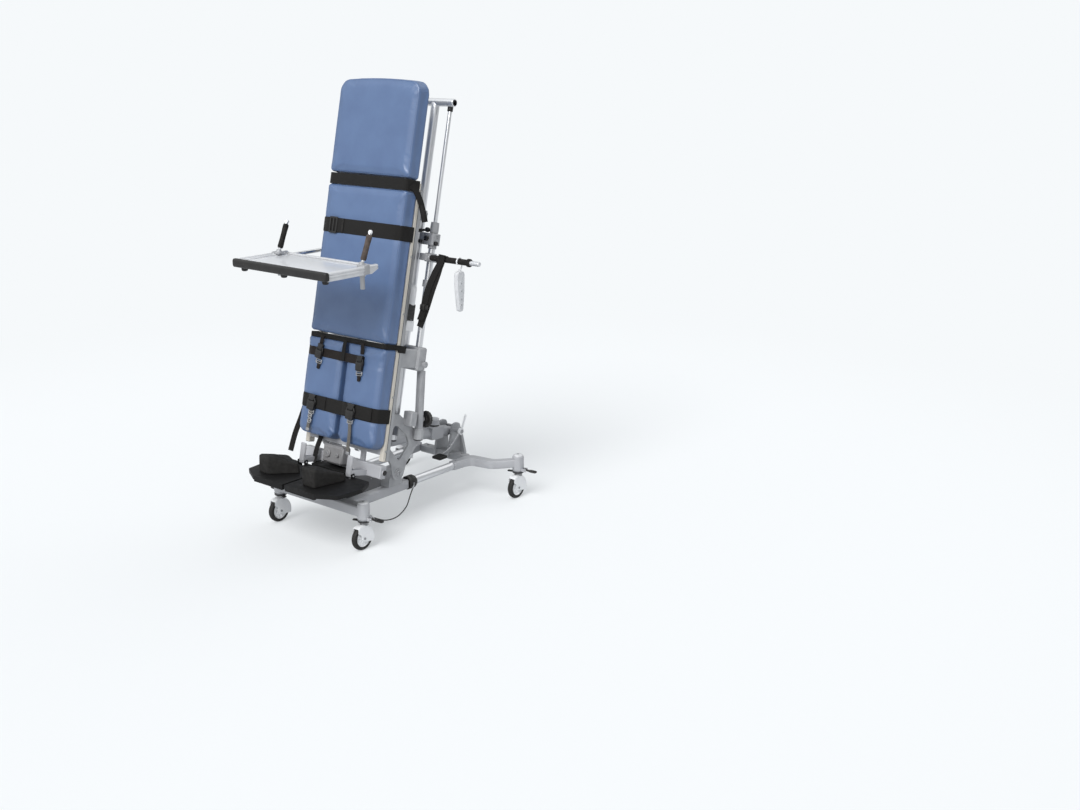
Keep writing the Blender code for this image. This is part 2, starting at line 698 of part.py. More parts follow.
def make_swing_brackets():
    """Side plates from the tilt pins up to the edge profiles, with the braces behind."""
    for side, sign in SIDES:
        outline = rounded([
            (PIVOT_S - 0.036, PIVOT_N + 0.030, 0.030), (PIVOT_S - 0.036, PIVOT_N - 0.034, 0.030),
            (PIVOT_S + 0.060, PIVOT_N - 0.052, 0.040), (0.052, -0.366, 0.018),
            (0.112, -0.366, 0.018), (0.150, -0.290, 0.030), (0.206, -0.200, 0.030),
            (0.206, UNDER_PROFILE, 0.006), (0.020, UNDER_PROFILE, 0.006), (-0.056, -0.186, 0.030)])
        plate = flat(f"swing_bracket_{side}", outline, SWING_THICK,
                     across_frame(sign * SWING_X), CAST, surface)
        window = flat("bracket_window", rounded([
            (-0.040, -0.240, 0.014), (0.048, -0.300, 0.018), (0.100, -0.270, 0.018),
            (0.160, -0.170, 0.018), (0.030, -0.158, 0.018)]), SWING_THICK * 3,
            across_frame(sign * SWING_X), parent=surface, helper=True)
        boss = cylinder("pin_boss", (sign * (SWING_X - SWING_THICK / 2 - 0.001), PIVOT_S, PIVOT_N),
                        (sign * (SWING_X + 0.013), PIVOT_S, PIVOT_N), PIN_RADIUS + 0.012,
                        parent=surface, sides=14, helper=True)
        seat_x = span(sign, SWING_X - 0.006, PROFILE_X + 0.008)
        seat = block("profile_seat", (seat_x[0], 0.026, UNDER_PROFILE - 0.012),
                     (seat_x[1], 0.200, UNDER_PROFILE - 0.0005), parent=surface, helper=True)
        brace = cylinder("brace", (sign * BRACE_X, *BRACE_FOOT), (sign * BRACE_X, *BRACE_HEAD),
                         BRACE_RADIUS, parent=surface, sides=10, helper=True)
        socket = cylinder("brace_socket", (sign * BRACE_X, BRACE_FOOT[0] - 0.004,
                                           BRACE_FOOT[1] - 0.0005),
                          (sign * BRACE_X, BRACE_FOOT[0] + 0.050, BRACE_FOOT[1] + 0.006),
                          BRACE_RADIUS + 0.004, parent=surface, sides=10,
                          helper=True)
        clamp_x = span(sign, 0.140, SWING_X)
        clamp = block("mast_foot_clamp", (clamp_x[0], MAST_S[0] + 0.030, MAST_N - 0.034),
                      (clamp_x[1], MAST_S[0] + 0.085, MAST_N + 0.034), parent=surface,
                      edge=0.005, helper=True)
        end_x = span(sign, 0.238, 0.296)
        end_block = block("end_block", (end_x[0], 0.150, -0.286), (end_x[1], 0.225, -0.240),
                          parent=surface, edge=0.004, helper=True)
        stub = []
        if side == "right":
            stub.append(cylinder("wheel_boss", (BRACE_X, WHEEL_S, BRACE_FOOT[1]),
                                 (BRACE_X, WHEEL_S, WHEEL_N), 0.014, parent=surface, sides=10,
                                 helper=True))
        bore = cylinder("pin_bore", (sign * (SWING_X - 0.050), PIVOT_S, PIVOT_N),
                        (sign * (SWING_X + 0.050), PIVOT_S, PIVOT_N), PIN_RADIUS + FIT,
                        parent=surface, sides=14, helper=True)
        mast = cylinder("mast_room", (sign * MAST_X, -0.1, MAST_N), (sign * MAST_X, 0.4, MAST_N),
                        MAST_RADIUS + GAP, parent=surface, sides=14, helper=True)
        above = block("above_bracket", (-0.400, CROSS_BRACKET_S[0] - GAP, -0.400),
                      (0.400, CROSS_BRACKET_S[1] + 0.060, -0.100), parent=surface, helper=True)
        cut(plate, window)
        join(plate, boss, seat, brace, socket, clamp, end_block, *stub)
        cut(plate, bore, mast, above)


def make_drive_unit():
    """The control box and its motor, screwed to a bar of the frame."""
    x = PROFILE_X - 0.054
    box = block("drive_unit", (x - 0.026, 0.690, -0.198), (x + 0.026, 0.775, -0.140),
                BLACK, surface, edge=0.005)
    capsule = cylinder("drive_capsule", (x, 0.770, -0.169), (x, 0.862, -0.169), 0.026,
                       parent=surface, sides=12, edge=0.008, helper=True)
    light = block("drive_socket", (x - 0.022, 0.645, -0.192), (x + 0.022, 0.696, -0.148),
                  parent=surface, helper=True)
    foot = block("drive_foot", (x - 0.018, CROSSBAR_S[2] - 0.016, -0.150),
                 (x + 0.018, CROSSBAR_S[2] + 0.016, BACK - CROSSBAR_DEEP - GAP),
                 parent=surface, helper=True)
    join(box, capsule, light, foot)


def make_hand_wheel():
    """A clamping wheel behind the right brace."""
    profile = [
        (0.0, 0.046), (0.012, 0.045), (0.014, 0.028), (0.030, 0.026), (0.036, 0.033),
        (0.043, 0.031), (0.045, 0.024), (0.043, 0.016), (0.036, 0.014), (0.030, 0.018),
        (0.014, 0.018), (0.012, 0.0), (0.0, 0.0)]
    turned("hand_wheel", profile, (BRACE_X, WHEEL_S, WHEEL_N - GAP), (0, 0, -1), BLACK,
           surface, steps=14)


make_pads()
make_lying_frame()
make_masts()
make_push_handle()
make_side_columns()
make_column_heads()
make_cross_bracket()
make_swing_brackets()
make_drive_unit()
make_hand_wheel()


# Base
def post_pieces(center, heading):
    """A caster post with its cap, and two bored ears for the brake pedal."""
    x, y = center
    low, high = POST_Z
    post = turned("caster_post", [
        (0.0, high + 0.007), (POST_RADIUS * 0.55, high + 0.006), (POST_RADIUS - 0.006, high + 0.001),
        (POST_RADIUS, high - 0.006), (POST_RADIUS, low + 0.010), (POST_RADIUS - 0.004, low),
        (0.0, low)], (x, y, 0.0), (0, 0, 1), helper=True, steps=12)
    ears = []
    along = Vector((math.cos(heading), math.sin(heading), 0.0))
    side = Vector((-along.y, along.x, 0.0))
    z = low + 0.010
    for sign in (-1, 1):
        ear = block("pedal_ear", (0.0, -0.0025, -0.008), (PEDAL_OUT + 0.006, 0.0025, 0.008),
                    helper=True)
        ear.rotation_euler = (0.0, 0.0, heading)
        ear.location = Vector((x, y, z)) + along * (PEDAL_OUT / 2 + 0.004) + side * sign * 0.0145
        ears.append(ear)
    pin = Vector((x, y, z)) + along * PEDAL_OUT
    bore = cylinder("pedal_bore", pin - side * 0.030, pin + side * 0.030, 0.0030 + FIT / 2,
                    sides=8, helper=True)
    return [post, *ears], [bore]


HEADINGS = {
    "front_left": math.radians(162.0), "front_right": math.radians(18.0),
    "rear_left": math.radians(162.0), "rear_right": math.radians(18.0)}
CASTERS = {
    "front_left": (-FRONT_POST[0], FRONT_POST[1]), "front_right": FRONT_POST,
    "rear_left": (-REAR_POST[0], REAR_POST[1]), "rear_right": REAR_POST}


def make_front_frame():
    """Front crossbar with its posts and the two side rails behind it."""
    half = FRONT_POST[0]
    bar = block("front_frame", (-half, BAR_Y[0], BAR_Z[0]), (half, BAR_Y[1], BAR_Z[1]),
                PAINT, edge=0.006)
    parts = []
    bores = []
    for side, sign in SIDES:
        x = span(sign, RAIL_X - RAIL_WIDE / 2, RAIL_X + RAIL_WIDE / 2)
        parts.append(block("side_rail", (x[0], BAR_Y[1] - 0.020, RAIL_Z[0]),
                           (x[1], COLLAR_Y[0] - GAP, RAIL_Z[1]), edge=0.006,
                           helper=True))
        added, cuts = post_pieces(CASTERS[f"front_{side}"], HEADINGS[f"front_{side}"])
        parts += added
        bores += cuts
    join(bar, *parts)
    cut(bar, *bores)


def make_rail_tubes():
    """Silver tubes that carry the side rails on to the rear legs, with black collars."""
    for side, sign in SIDES:
        z = sum(RAIL_Z) / 2
        tube = cylinder(f"rail_tube_{side}", (sign * RAIL_X, COLLAR_Y[0] + 0.004, z),
                        (sign * RAIL_X, TUBE_END_Y - GAP, z), TUBE_RADIUS, SILVER, sides=12)
        collar = cylinder("collar", (sign * RAIL_X, COLLAR_Y[0], z),
                          (sign * RAIL_X, COLLAR_Y[1], z), COLLAR_RADIUS, sides=14,
                          edge=0.004, helper=True)
        lip = cylinder("collar_lip", (sign * RAIL_X, COLLAR_Y[1] - 0.004, z),
                       (sign * RAIL_X, COLLAR_Y[1] + 0.010, z), TUBE_RADIUS + 0.006, sides=14,
                       helper=True)
        join(tube, collar, lip)


def leg_outline(sign):
    """The cranked leg's plan: its middle line moved half its width to each side."""
    half = (0.025, 0.027, 0.025, 0.021)
    line = [Vector((sign * x, y)) for x, y in ELBOWS]
    left, right = [], []
    for i, point in enumerate(line):
        before = (point - line[i - 1]).normalized() if i else None
        after = (line[i + 1] - point).normalized() if i < len(line) - 1 else None
        along = ((before or after) + (after or before)).normalized()
        normal = Vector((-along.y, along.x))
        lean = max(0.5, abs(normal.dot(Vector((-(after or before).y, (after or before).x)))))
        reach = half[i] / lean
        corner = 0.0 if i in (0, len(line) - 1) else 0.040
        left.append((*(point + normal * reach), corner))
        right.append((*(point - normal * reach), corner))
    return rounded(left + right[::-1], 3)


def make_rear_legs():
    for side, sign in SIDES:
        z = sum(RAIL_Z) / 2
        leg = flat(f"rear_leg_{side}", leg_outline(sign), 0.044,
                   Matrix.Translation((0.0, 0.0, CRANK_TOP - 0.022)), PAINT, edge=0.004)
        spigot = cylinder("leg_socket", (sign * RAIL_X, TUBE_END_Y, z),
                          (sign * RAIL_X, TUBE_END_Y + 0.040, z), TUBE_RADIUS + 0.003,
                          sides=12, helper=True)
        added, cuts = post_pieces(CASTERS[f"rear_{side}"], HEADINGS[f"rear_{side}"])
        beam = block("beam_room", (-RAIL_X + 0.020 - GAP, REAR_BEAM_Y[0] - GAP, 0.1),
                     (RAIL_X - 0.020 + GAP, REAR_BEAM_Y[1] + GAP, 0.3), helper=True)
        tube = block("tube_room", (-0.400, TUBE_END_Y - 0.100, 0.1), (0.400, TUBE_END_Y, 0.3),
                     helper=True)
        join(leg, spigot, *added)
        cut(leg, *cuts, beam, tube)


def make_rear_bracket():
    """Rear crossmember with the arched casting that holds the actuator's rear pin."""
    low, high = 0.178, 0.220
    beam = block("rear_bracket", (-RAIL_X + 0.020, REAR_BEAM_Y[0], low),
                 (RAIL_X - 0.020, REAR_BEAM_Y[1], high), CAST, edge=0.005)
    parts = []
    for sign in (-1, 1):
        foot = 0.485
        cheek = flat("arch_cheek", rounded([
            (0.372, 0.190, 0.004), (foot, 0.190, 0.010), (foot + 0.004, 0.300, 0.030),
            (ACT_REAR_Y + 0.026, ARCH_TOP, 0.022), (ACT_REAR_Y - 0.028, ARCH_TOP, 0.022),
            (0.400, 0.300, 0.040)]), 0.014, across_frame(sign * 0.050), helper=True)
        parts.append(cheek)
    arch = flat("rear_arch", rounded([
        (-ARCH_HALF, 0.196, 0.004), (-0.062, 0.196, 0.004), (-0.040, 0.290, 0.030),
        (0.040, 0.290, 0.030), (0.062, 0.196, 0.004), (ARCH_HALF, 0.196, 0.004),
        (0.060, ARCH_TOP - 0.030, 0.026), (-0.060, ARCH_TOP - 0.030, 0.026)], 4), 0.016,
        Matrix.Translation((0.0, 0.480, 0.0)) @ Matrix.Rotation(math.radians(90), 4, "X"),
        helper=True)
    parts.append(arch)
    pin = cylinder("rear_pin", (-0.064, ACT_REAR_Y, ACT_REAR_Z), (0.064, ACT_REAR_Y, ACT_REAR_Z),
                   0.009, sides=10, helper=True)
    lever_boss = cylinder("lever_boss", (0.052, 0.422, 0.345), (0.124, 0.422, 0.345), 0.011,
                          sides=10, helper=True)
    foot_plate = block("arch_foot", (-0.060, REAR_BEAM_Y[1] - 0.020, low + 0.001),
                       (0.060, 0.488, low + 0.018), helper=True)
    join(beam, *parts, pin, lever_boss, foot_plate)


def make_base_plate():
    inner = RAIL_X - RAIL_WIDE / 2 - GAP
    plate = block("base_plate", (-inner, PLATE_Y[0] - GAP, PLATE_Z[0]),
                  (inner, PLATE_Y[1], PLATE_Z[1]), DARK)
    lip = block("plate_lip", (-inner, PLATE_Y[1] - 0.020, PLATE_Z[0] - 0.010),
                (inner, PLATE_Y[1] - 0.001, PLATE_Z[0] + 0.004), helper=True)
    plate.location.y += 2 * GAP
    join(plate, lip)


def make_pivot_blocks():
    """Bearing blocks on the side rails; their pins carry the swing brackets."""
    top = RAIL_Z[1] + GAP
    for side, sign in SIDES:
        x = RAIL_X - RAIL_WIDE / 2 + 0.004
        outline = rounded([
            (PIVOT_Y - 0.052, top, 0.003), (PIVOT_Y + 0.052, top, 0.003),
            (PIVOT_Y + 0.030, PIVOT_Z + 0.024, 0.024), (PIVOT_Y - 0.030, PIVOT_Z + 0.024, 0.024)],
            4)
        wide = BLOCK_OUT - x
        bearing = flat(f"pivot_block_{side}", outline, wide,
                       across_frame(sign * (x + wide / 2)), CAST)
        pin = cylinder("tilt_pin", (sign * (x + 0.010), PIVOT_Y, PIVOT_Z),
                       (sign * (SWING_X + 0.018), PIVOT_Y, PIVOT_Z), PIN_RADIUS, sides=14,
                       helper=True)
        cap = cylinder("pin_cap", (sign * (SWING_X + 0.0135), PIVOT_Y, PIVOT_Z),
                       (sign * (SWING_X + 0.021), PIVOT_Y, PIVOT_Z), PIN_RADIUS + 0.006,
                       sides=14, helper=True)
        join(bearing, pin, cap)


def make_brake_cable():
    """The cable from the front brake up to the actuator's side, as the photograph shows."""
    route = smooth_route([
        (0.3150, -0.4960, 0.170), (0.3185, -0.455, 0.140), (0.318, -0.380, 0.106),
        (0.308, -0.290, 0.096), (0.284, -0.200, 0.116), (0.252, -0.125, 0.160),
        (0.2300, -0.078, 0.200)], 3)
    bent_tube("brake_cable", route, 0.003, BLACK)


# Casters
def make_casters():
    for place, center in CASTERS.items():
        x, y = center
        wheel_y = y - TRAIL
        hub = WHEEL_WIDE / 2
        wheel = turned(f"caster_wheel_{place}", [
            (0.006, hub - 0.002), (HUB_BOSS, hub - 0.002), (HUB_BOSS + 0.004, hub - 0.007),
            (0.044, hub - 0.007), (0.048, hub), (0.056, hub), (WHEEL_RADIUS, hub * 0.4),
            (WHEEL_RADIUS, -hub * 0.4), (0.056, -hub), (0.048, -hub), (0.044, -hub + 0.007),
            (HUB_BOSS + 0.004, -hub + 0.007), (HUB_BOSS, -hub + 0.002), (0.006, -hub + 0.002),
            (0.006, hub - 0.002)], (x, wheel_y, WHEEL_RADIUS), (1, 0, 0),
            RUBBER, steps=15)
        wheel.modifiers["turned"].use_merge_vertices = True
        outline = [(wheel_y + SHELL_RADIUS * math.cos(math.radians(a)),
                    WHEEL_RADIUS + SHELL_RADIUS * math.sin(math.radians(a)))
                   for a in range(-20, 121, 20)]
        outline += [(wheel_y - 0.026, WHEEL_RADIUS + 0.030), (wheel_y - 0.016, WHEEL_RADIUS),
                    (wheel_y - 0.009, WHEEL_RADIUS - 0.014), (wheel_y + 0.010, WHEEL_RADIUS - 0.015),
                    (wheel_y + 0.030, WHEEL_RADIUS - 0.014)]
        shell = flat(f"caster_housing_{place}", outline, 2 * SHELL_HALF, across_frame(x), WHITE,
                     edge=0.004)
        head = cylinder("swivel_head", (x, y, WHEEL_RADIUS + 0.050), (x, y, POST_Z[0] - GAP),
                        SWIVEL_RADIUS, sides=14, helper=True)
        axle = cylinder("axle", (x - SHELL_HALF + 0.001, wheel_y, WHEEL_RADIUS),
                        (x + SHELL_HALF - 0.001, wheel_y, WHEEL_RADIUS), 0.006 - FIT, sides=8,
                        helper=True)
        room = cylinder("wheel_room", (x - SHELL_HALF + SHELL_WALL, wheel_y, WHEEL_RADIUS),
                        (x + SHELL_HALF - SHELL_WALL, wheel_y, WHEEL_RADIUS), SHELL_ROOM,
                        sides=18, helper=True)
        join(shell, head)
        cut(shell, room)
        join(shell, axle)


def make_brake_pedals():
    for place, center in CASTERS.items():
        heading = HEADINGS[place]
        along = Vector((math.cos(heading), math.sin(heading), 0.0))
        side = Vector((-along.y, along.x, 0.0))
        start = Vector((*center, POST_Z[0] + 0.010)) + along * PEDAL_OUT
        outline = rounded([
            (-0.004, -0.009, 0.0), (0.020, -0.010, 0.006), (0.030, -0.016, 0.006),
            (PEDAL_LENGTH, -0.015, 0.010), (PEDAL_LENGTH, 0.015, 0.010), (0.030, 0.016, 0.006),
            (0.020, 0.010, 0.006), (-0.004, 0.009, 0.0)])
        frame = (Matrix.Translation(start) @ Matrix.Rotation(heading, 4, "Z")
                 @ Matrix.Rotation(math.radians(6), 4, "Y"))
        pedal = flat(f"brake_pedal_{place}", outline, 0.007, frame, BLACK)
        knuckle = cylinder("pedal_knuckle", start - side * 0.0105, start + side * 0.0105, 0.0062,
                           sides=10, helper=True)
        pin = cylinder("pedal_pin", start - side * 0.0175, start + side * 0.0175, 0.0030,
                       sides=8, helper=True)
        join(pedal, knuckle, pin)


# Actuator
def slot_room():
    """How far the rod's eye is open ahead of, behind, below and above the lug pin.

    The rod and its swing follow the tilt at constant ratios, so the eye leaves the room by
    which the pin's true path departs from them.
    """
    low, high = TILT_RANGE
    rear = Vector((ACT_REAR_Y, ACT_REAR_Z))

    def pin_at(tilt):
        angle = LEVER_ANGLE + tilt
        pin = Vector((PIVOT_Y, PIVOT_Z)) + LEVER_RADIUS * Vector((math.cos(angle), math.sin(angle)))
        line = pin - rear
        return line.length, math.atan2(line.y, -line.x)

    rest_length, rest_slope = pin_at(0.0)
    low_length, low_slope = pin_at(low)
    stroke = (low_length - rest_length) / low
    swing = (low_slope - rest_slope) / low
    along, across = [], []
    for step in range(101):
        tilt = low + (high - low) * step / 100
        length, slope = pin_at(tilt)
        along.append(length - rest_length - stroke * tilt)
        across.append((slope - rest_slope - swing * tilt) * length)
    print(f"rod {stroke:.5f} m per rad, swing {swing:.5f}")
    room = LUG_PIN + FIT
    return room + max(along), room - min(along), room - min(across), room + max(across)


def make_actuator():
    """Housing with motor on the rear pin, and the rod that pushes the lugs."""
    rear = Vector((0.0, ACT_REAR_Y, ACT_REAR_Z))
    tip = Vector((0.0, LEVER_Y, LEVER_Z))
    slope = math.atan2(tip.z - rear.z, rear.y - tip.y)
    # Its own frame: x across, y backwards along the rod, z up, origin on the rear pin.
    axis = add_empty("actuator_axis", rear, rotation=(-slope, 0.0, 0.0))
    reach = (tip - rear).length
    body = cylinder("actuator_body", (0, -0.030, 0), (0, -ACT_LENGTH, 0), ACT_RADIUS,
                    PAINT, axis, sides=16, edge=0.004)
    eye = block("rear_eye", (-0.0180, -0.060, -0.016), (0.0180, 0.0145, 0.016), parent=axis,
                helper=True, edge=0.006)
    nose = cylinder("nose", (0, -ACT_LENGTH + 0.090, 0), (0, -ACT_LENGTH - 0.004, 0),
                    ACT_RADIUS + 0.004, parent=axis, sides=16, edge=0.005, helper=True)
    gear = block("gear_case", (-0.036, -MOTOR_BACK - 0.044, -0.034),
                 (0.040, -MOTOR_BACK + 0.052, 0.038), parent=axis, helper=True, edge=0.004)
    motor = cylinder("motor", (0.002, -MOTOR_BACK, 0.012), (0.002, -MOTOR_BACK, 0.082),
                     MOTOR_RADIUS, parent=axis, sides=16, edge=0.006, helper=True)
    eye_bore = cylinder("eye_bore", (-0.040, 0, 0), (0.040, 0, 0), 0.009 + FIT, parent=axis,
                        sides=12, helper=True)
    rod_bore = cylinder("rod_bore", (0, -ACT_LENGTH + ACT_BORE, 0), (0, -ACT_LENGTH - 0.020, 0),
                        ACT_ROD_RADIUS + FIT, parent=axis, sides=12, helper=True)
    join(body, eye, nose, gear, motor)
    cut(body, eye_bore, rod_bore)
    inner_end = -ACT_LENGTH + ACT_BORE - ACT_STROKE - ACT_END_ROOM
    rod = cylinder("actuator_rod", (0, -reach + 0.0185, 0), (0, inner_end, 0),
                   ACT_ROD_RADIUS, CHROME, axis, sides=12)
    ahead, behind, below, above = slot_room()
    wall = 0.008
    center = -reach
    fork = flat("rod_eye", rounded([
        (center - ahead - wall, -below - wall, 0.014), (center + behind + wall, -below - wall, 0.014),
        (center + behind + wall, above + wall, 0.014), (center - ahead - wall, above + wall, 0.014)],
        3), 0.028, across_frame(0.0), parent=axis, helper=True)
    eye_slot = flat("eye_slot", rounded([
        (center - ahead, -below, LUG_PIN), (center + behind, -below, LUG_PIN),
        (center + behind, above, LUG_PIN), (center - ahead, above, LUG_PIN)], 3), 0.060,
        across_frame(0.0), parent=axis, helper=True)
    join(rod, fork)
    cut(rod, eye_slot)


def make_release_pedal():
    """White lever on the rear casting with the rubber pedal in front of it."""
    lever = cylinder("release_pedal", (0.112, 0.420, 0.330), (0.112, 0.468, 0.432), 0.0065,
                     WHITE, sides=8)
    hub = turned("lever_hub", [
        (0.0118, 0.008), (0.019, 0.008), (0.019, -0.008), (0.0118, -0.008), (0.0118, 0.008)],
        (0.112, 0.422, 0.345), (1, 0, 0), helper=True, steps=12)
    arm = bent_tube("pedal_arm", smooth_route([
        (0.112, 0.410, 0.338), (0.112, 0.360, 0.296), (0.108, 0.320, 0.262),
        (0.092, 0.290, 0.240)], 3), 0.006, helper=True)
    pad = block("pedal_pad", (0.060, 0.236, 0.222), (0.124, 0.300, 0.238), helper=True,
                edge=0.005)
    bore = cylinder("hub_bore", (0.090, 0.422, 0.345), (0.130, 0.422, 0.345), 0.0118, sides=14,
                    helper=True)
    join(lever, hub, arm, pad)
    cut(lever, bore)


make_front_frame()
make_rail_tubes()
make_rear_legs()
make_rear_bracket()
make_base_plate()
make_pivot_blocks()
make_brake_cable()
make_casters()
make_brake_pedals()
make_actuator()
make_release_pedal()


# Foot end
HINGE_S, HINGE_N = on_surface(HINGE_Y, HINGE_Z)


def make_foot_carrier():
    """Cross box below the pads with its slide bars, the middle casting and two hangers."""
    s, n = FOOT_BEAM_S, FOOT_BEAM_N
    beam = block("foot_carrier", (-FOOT_BEAM_HALF, s[0], n[0]), (FOOT_BEAM_HALF, s[1], n[1]),
                 PAINT, surface, edge=0.004)
    parts = []
    for sign in (-1, 1):
        x = span(sign, 0.105, 0.135)
        parts.append(block("slide_bar", (x[0], s[0] + 0.010, BACK - CROSSBAR_DEEP - 0.012),
                           (x[1], 0.240, BACK - CROSSBAR_DEEP - GAP), parent=surface,
                           helper=True))
        x = span(sign, HANGER_X - HANGER_WIDE / 2, HANGER_X + HANGER_WIDE / 2)
        parts.append(block("hanger_arm", (x[0], s[0] + 0.002, n[1] - 0.010),
                           (x[1], s[0] + 0.030, HINGE_N + 0.004), parent=surface,
                           helper=True))
        parts.append(block("hanger_bar", (x[0] + 0.001, s[0] + 0.004, HINGE_N + 0.001),
                           (x[1] - 0.001, -0.018, HINGE_N + 0.001 + HANGER_THICK),
                           parent=surface, edge=0.004, helper=True))
        barrel = span(sign, HANGER_X - HANGER_WIDE / 2 + 0.003,
                      HANGER_X + HANGER_WIDE / 2 - 0.003)
        parts.append(cylinder("hinge_barrel", (barrel[0], HINGE_S, HINGE_N),
                              (barrel[1], HINGE_S, HINGE_N), HINGE_RADIUS, parent=surface,
                              sides=10, helper=True))
        parts.append(cylinder("hinge_pin", (barrel[0] - 0.014, HINGE_S, HINGE_N),
                              (barrel[1] + 0.014, HINGE_S, HINGE_N), 0.004, parent=surface,
                              sides=8, helper=True))
        parts.append(cylinder("side_bolt", (sign * (FOOT_BEAM_HALF - 0.004), s[0] + 0.033,
                                            (n[0] + n[1]) / 2),
                              (sign * (FOOT_BEAM_HALF + 0.008), s[0] + 0.033,
                               (n[0] + n[1]) / 2), 0.013, parent=surface, sides=10,
                              helper=True))
    hub = block("middle_casting", (-0.088, s[0] + 0.022, n[1] - 0.012), (0.058, -0.003, -0.016),
                parent=surface, edge=0.010, helper=True)
    parts.append(hub)
    join(beam, *parts)


def make_footplates():
    top = PLATE_TOP
    for side, sign in SIDES:
        corners = [
            (FOOT_INNER, FOOT_FRONT, 0.006), (0.229, FOOT_FRONT, 0.014), (0.334, -0.713, 0.014),
            (0.352, -0.567, 0.014), (0.304, FOOT_REAR, 0.010), (FOOT_INNER, FOOT_REAR, 0.006)]
        outline = [(x * sign, y) for x, y in rounded(corners)]
        plate = flat(f"footplate_{side}", outline, PLATE_THICK,
                     Matrix.Translation((0.0, 0.0, top - PLATE_THICK / 2)), BLACK)
        room_x = span(sign, HANGER_X - HANGER_WIDE / 2 - 0.0015, HANGER_X + HANGER_WIDE / 2 + 0.0015)
        room = block("hanger_room", (room_x[0], HINGE_Y - 0.020, top - 0.040),
                     (room_x[1], FOOT_REAR + 0.020, top + 0.040), helper=True)
        ears = []
        bores = []
        for turn in (-1, 1):
            x = sign * HANGER_X + turn * (HANGER_WIDE / 2 + 0.0045)
            ears.append(block("hinge_ear", (x - 0.003, HINGE_Y - 0.011, top - 0.014),
                              (x + 0.003, HINGE_Y + 0.011, HINGE_Z + 0.010), helper=True))
            bores.append(cylinder("ear_bore", (x - 0.006, HINGE_Y, HINGE_Z),
                                  (x + 0.006, HINGE_Y, HINGE_Z), 0.004 + FIT, sides=8,
                                  helper=True))
        rim = block("toe_rim", (min(sign * 0.010, sign * 0.225), FOOT_FRONT + 0.002,
                                top - PLATE_THICK - 0.010),
                    (max(sign * 0.010, sign * 0.225), FOOT_FRONT + 0.016, top - 0.006),
                    helper=True)
        join(plate, rim)
        cut(plate, room)
        join(plate, *ears)
        cut(plate, *bores)


def make_foot_blocks():
    """Foam wedges that hold the feet: high in front, running down to the heel."""
    plans = {
        "right": ((0.076, -0.712), (0.169, -0.716), (0.207, -0.530), (0.020, -0.585)),
        "left": ((-0.256, -0.712), (-0.176, -0.716), (-0.062, -0.600), (-0.236, -0.520))}
    bottom = PLATE_TOP + GAP
    for side, plan in plans.items():
        bm = bmesh.new()
        heights = (0.092, 0.094, 0.040, 0.044)
        mids = []
        for k in (1, 2):
            front, rear = Vector(plan[1 if k == 1 else 0]), Vector(plan[2 if k == 1 else 3])
            mids.append(front.lerp(rear, 0.40))
        ring = [Vector(plan[0]), Vector(plan[1]), mids[0], Vector(plan[2]), Vector(plan[3]), mids[1]]
        tall = (heights[0], heights[1], heights[1] - 0.002, heights[2], heights[3],
                heights[0] - 0.002)
        low = [bm.verts.new((*p, bottom)) for p in ring]
        high = []
        middle = sum(ring, Vector((0.0, 0.0))) / 6
        for p, tall_here in zip(ring, tall):
            high.append(bm.verts.new((*(p + (middle - p) * 0.06), bottom + tall_here)))
        bm.faces.new(low[::-1])
        for k in range(6):
            bm.faces.new((low[k], low[(k + 1) % 6], high[(k + 1) % 6], high[k]))
        bm.faces.new((high[0], high[1], high[2], high[5]))
        bm.faces.new((high[5], high[2], high[3], high[4]))
        bmesh.ops.recalc_face_normals(bm, faces=bm.faces)
        wedge = add_object(f"foot_block_{side}", mesh_from(bm, "wedge"), FOAM, None, False)
        bevel(wedge, 0.012, 2, 20.0)
        shade(wedge, 50.0)


# Tray
def make_tray_carrier():
    """Clamp on the left column with the socket of the tray's arm."""
    s, x = CARRIER_S, -ROD_X
    clamp = cylinder("tray_carrier", (x, s - 0.027, ROD_N), (x, s + 0.027, ROD_N),
                     COLUMN_RADIUS + 0.012, CAST, surface, sides=14)
    y = PAD_FOOT_Y + s * COS - ROD_N * SIN
    z = PAD_FOOT_Z + s * SIN + ROD_N * COS
    bridge = block("carrier_bridge", (ARM_X - 0.004, y - 0.016, z - 0.018),
                   (x - 0.010, y + 0.016, z + 0.020), helper=True)
    riser = block("carrier_riser", (ARM_X - 0.006, y - 0.014, z - 0.012),
                  (ARM_X + 0.018, y + 0.014, ARM_Z + 0.003), helper=True)
    socket = cylinder("arm_socket", (ARM_X, y - 0.075, ARM_Z), (ARM_X, y + 0.040, ARM_Z),
                      ARM_RADIUS + 0.007, sides=12, helper=True)
    knob = cylinder("carrier_knob", (x - 0.020, y + 0.020, z - 0.006),
                    (x - 0.052, y + 0.034, z - 0.006), 0.013, sides=10, helper=True)
    column = cylinder("column_room", (x, s - 0.100, ROD_N), (x, s + 0.100, ROD_N),
                      COLUMN_RADIUS + FIT, parent=surface, sides=10, helper=True)
    bore = cylinder("socket_bore", (ARM_X, y - 0.110, ARM_Z), (ARM_X, y + 0.110, ARM_Z),
                    ARM_RADIUS + FIT, sides=10, helper=True)
    join(clamp, bridge, riser, socket, knob)
    cut(clamp, column, bore)
    arm = cylinder("tray_arm", (ARM_X, TRAY_HINGE_Y, ARM_Z), (ARM_X, y + 0.150, ARM_Z),
                   ARM_RADIUS, CHROME, sides=10)
    knuckle = cylinder("arm_knuckle", (ARM_X - 0.012, TRAY_HINGE_Y, ARM_Z),
                       (ARM_X + 0.010, TRAY_HINGE_Y, ARM_Z), 0.0125, sides=12,
                       helper=True)
    pin = cylinder("arm_pin", (ARM_X, TRAY_HINGE_Y, ARM_Z), (ARM_X + 0.040, TRAY_HINGE_Y, ARM_Z),
                   0.005, sides=8, helper=True)
    join(arm, knuckle, pin)


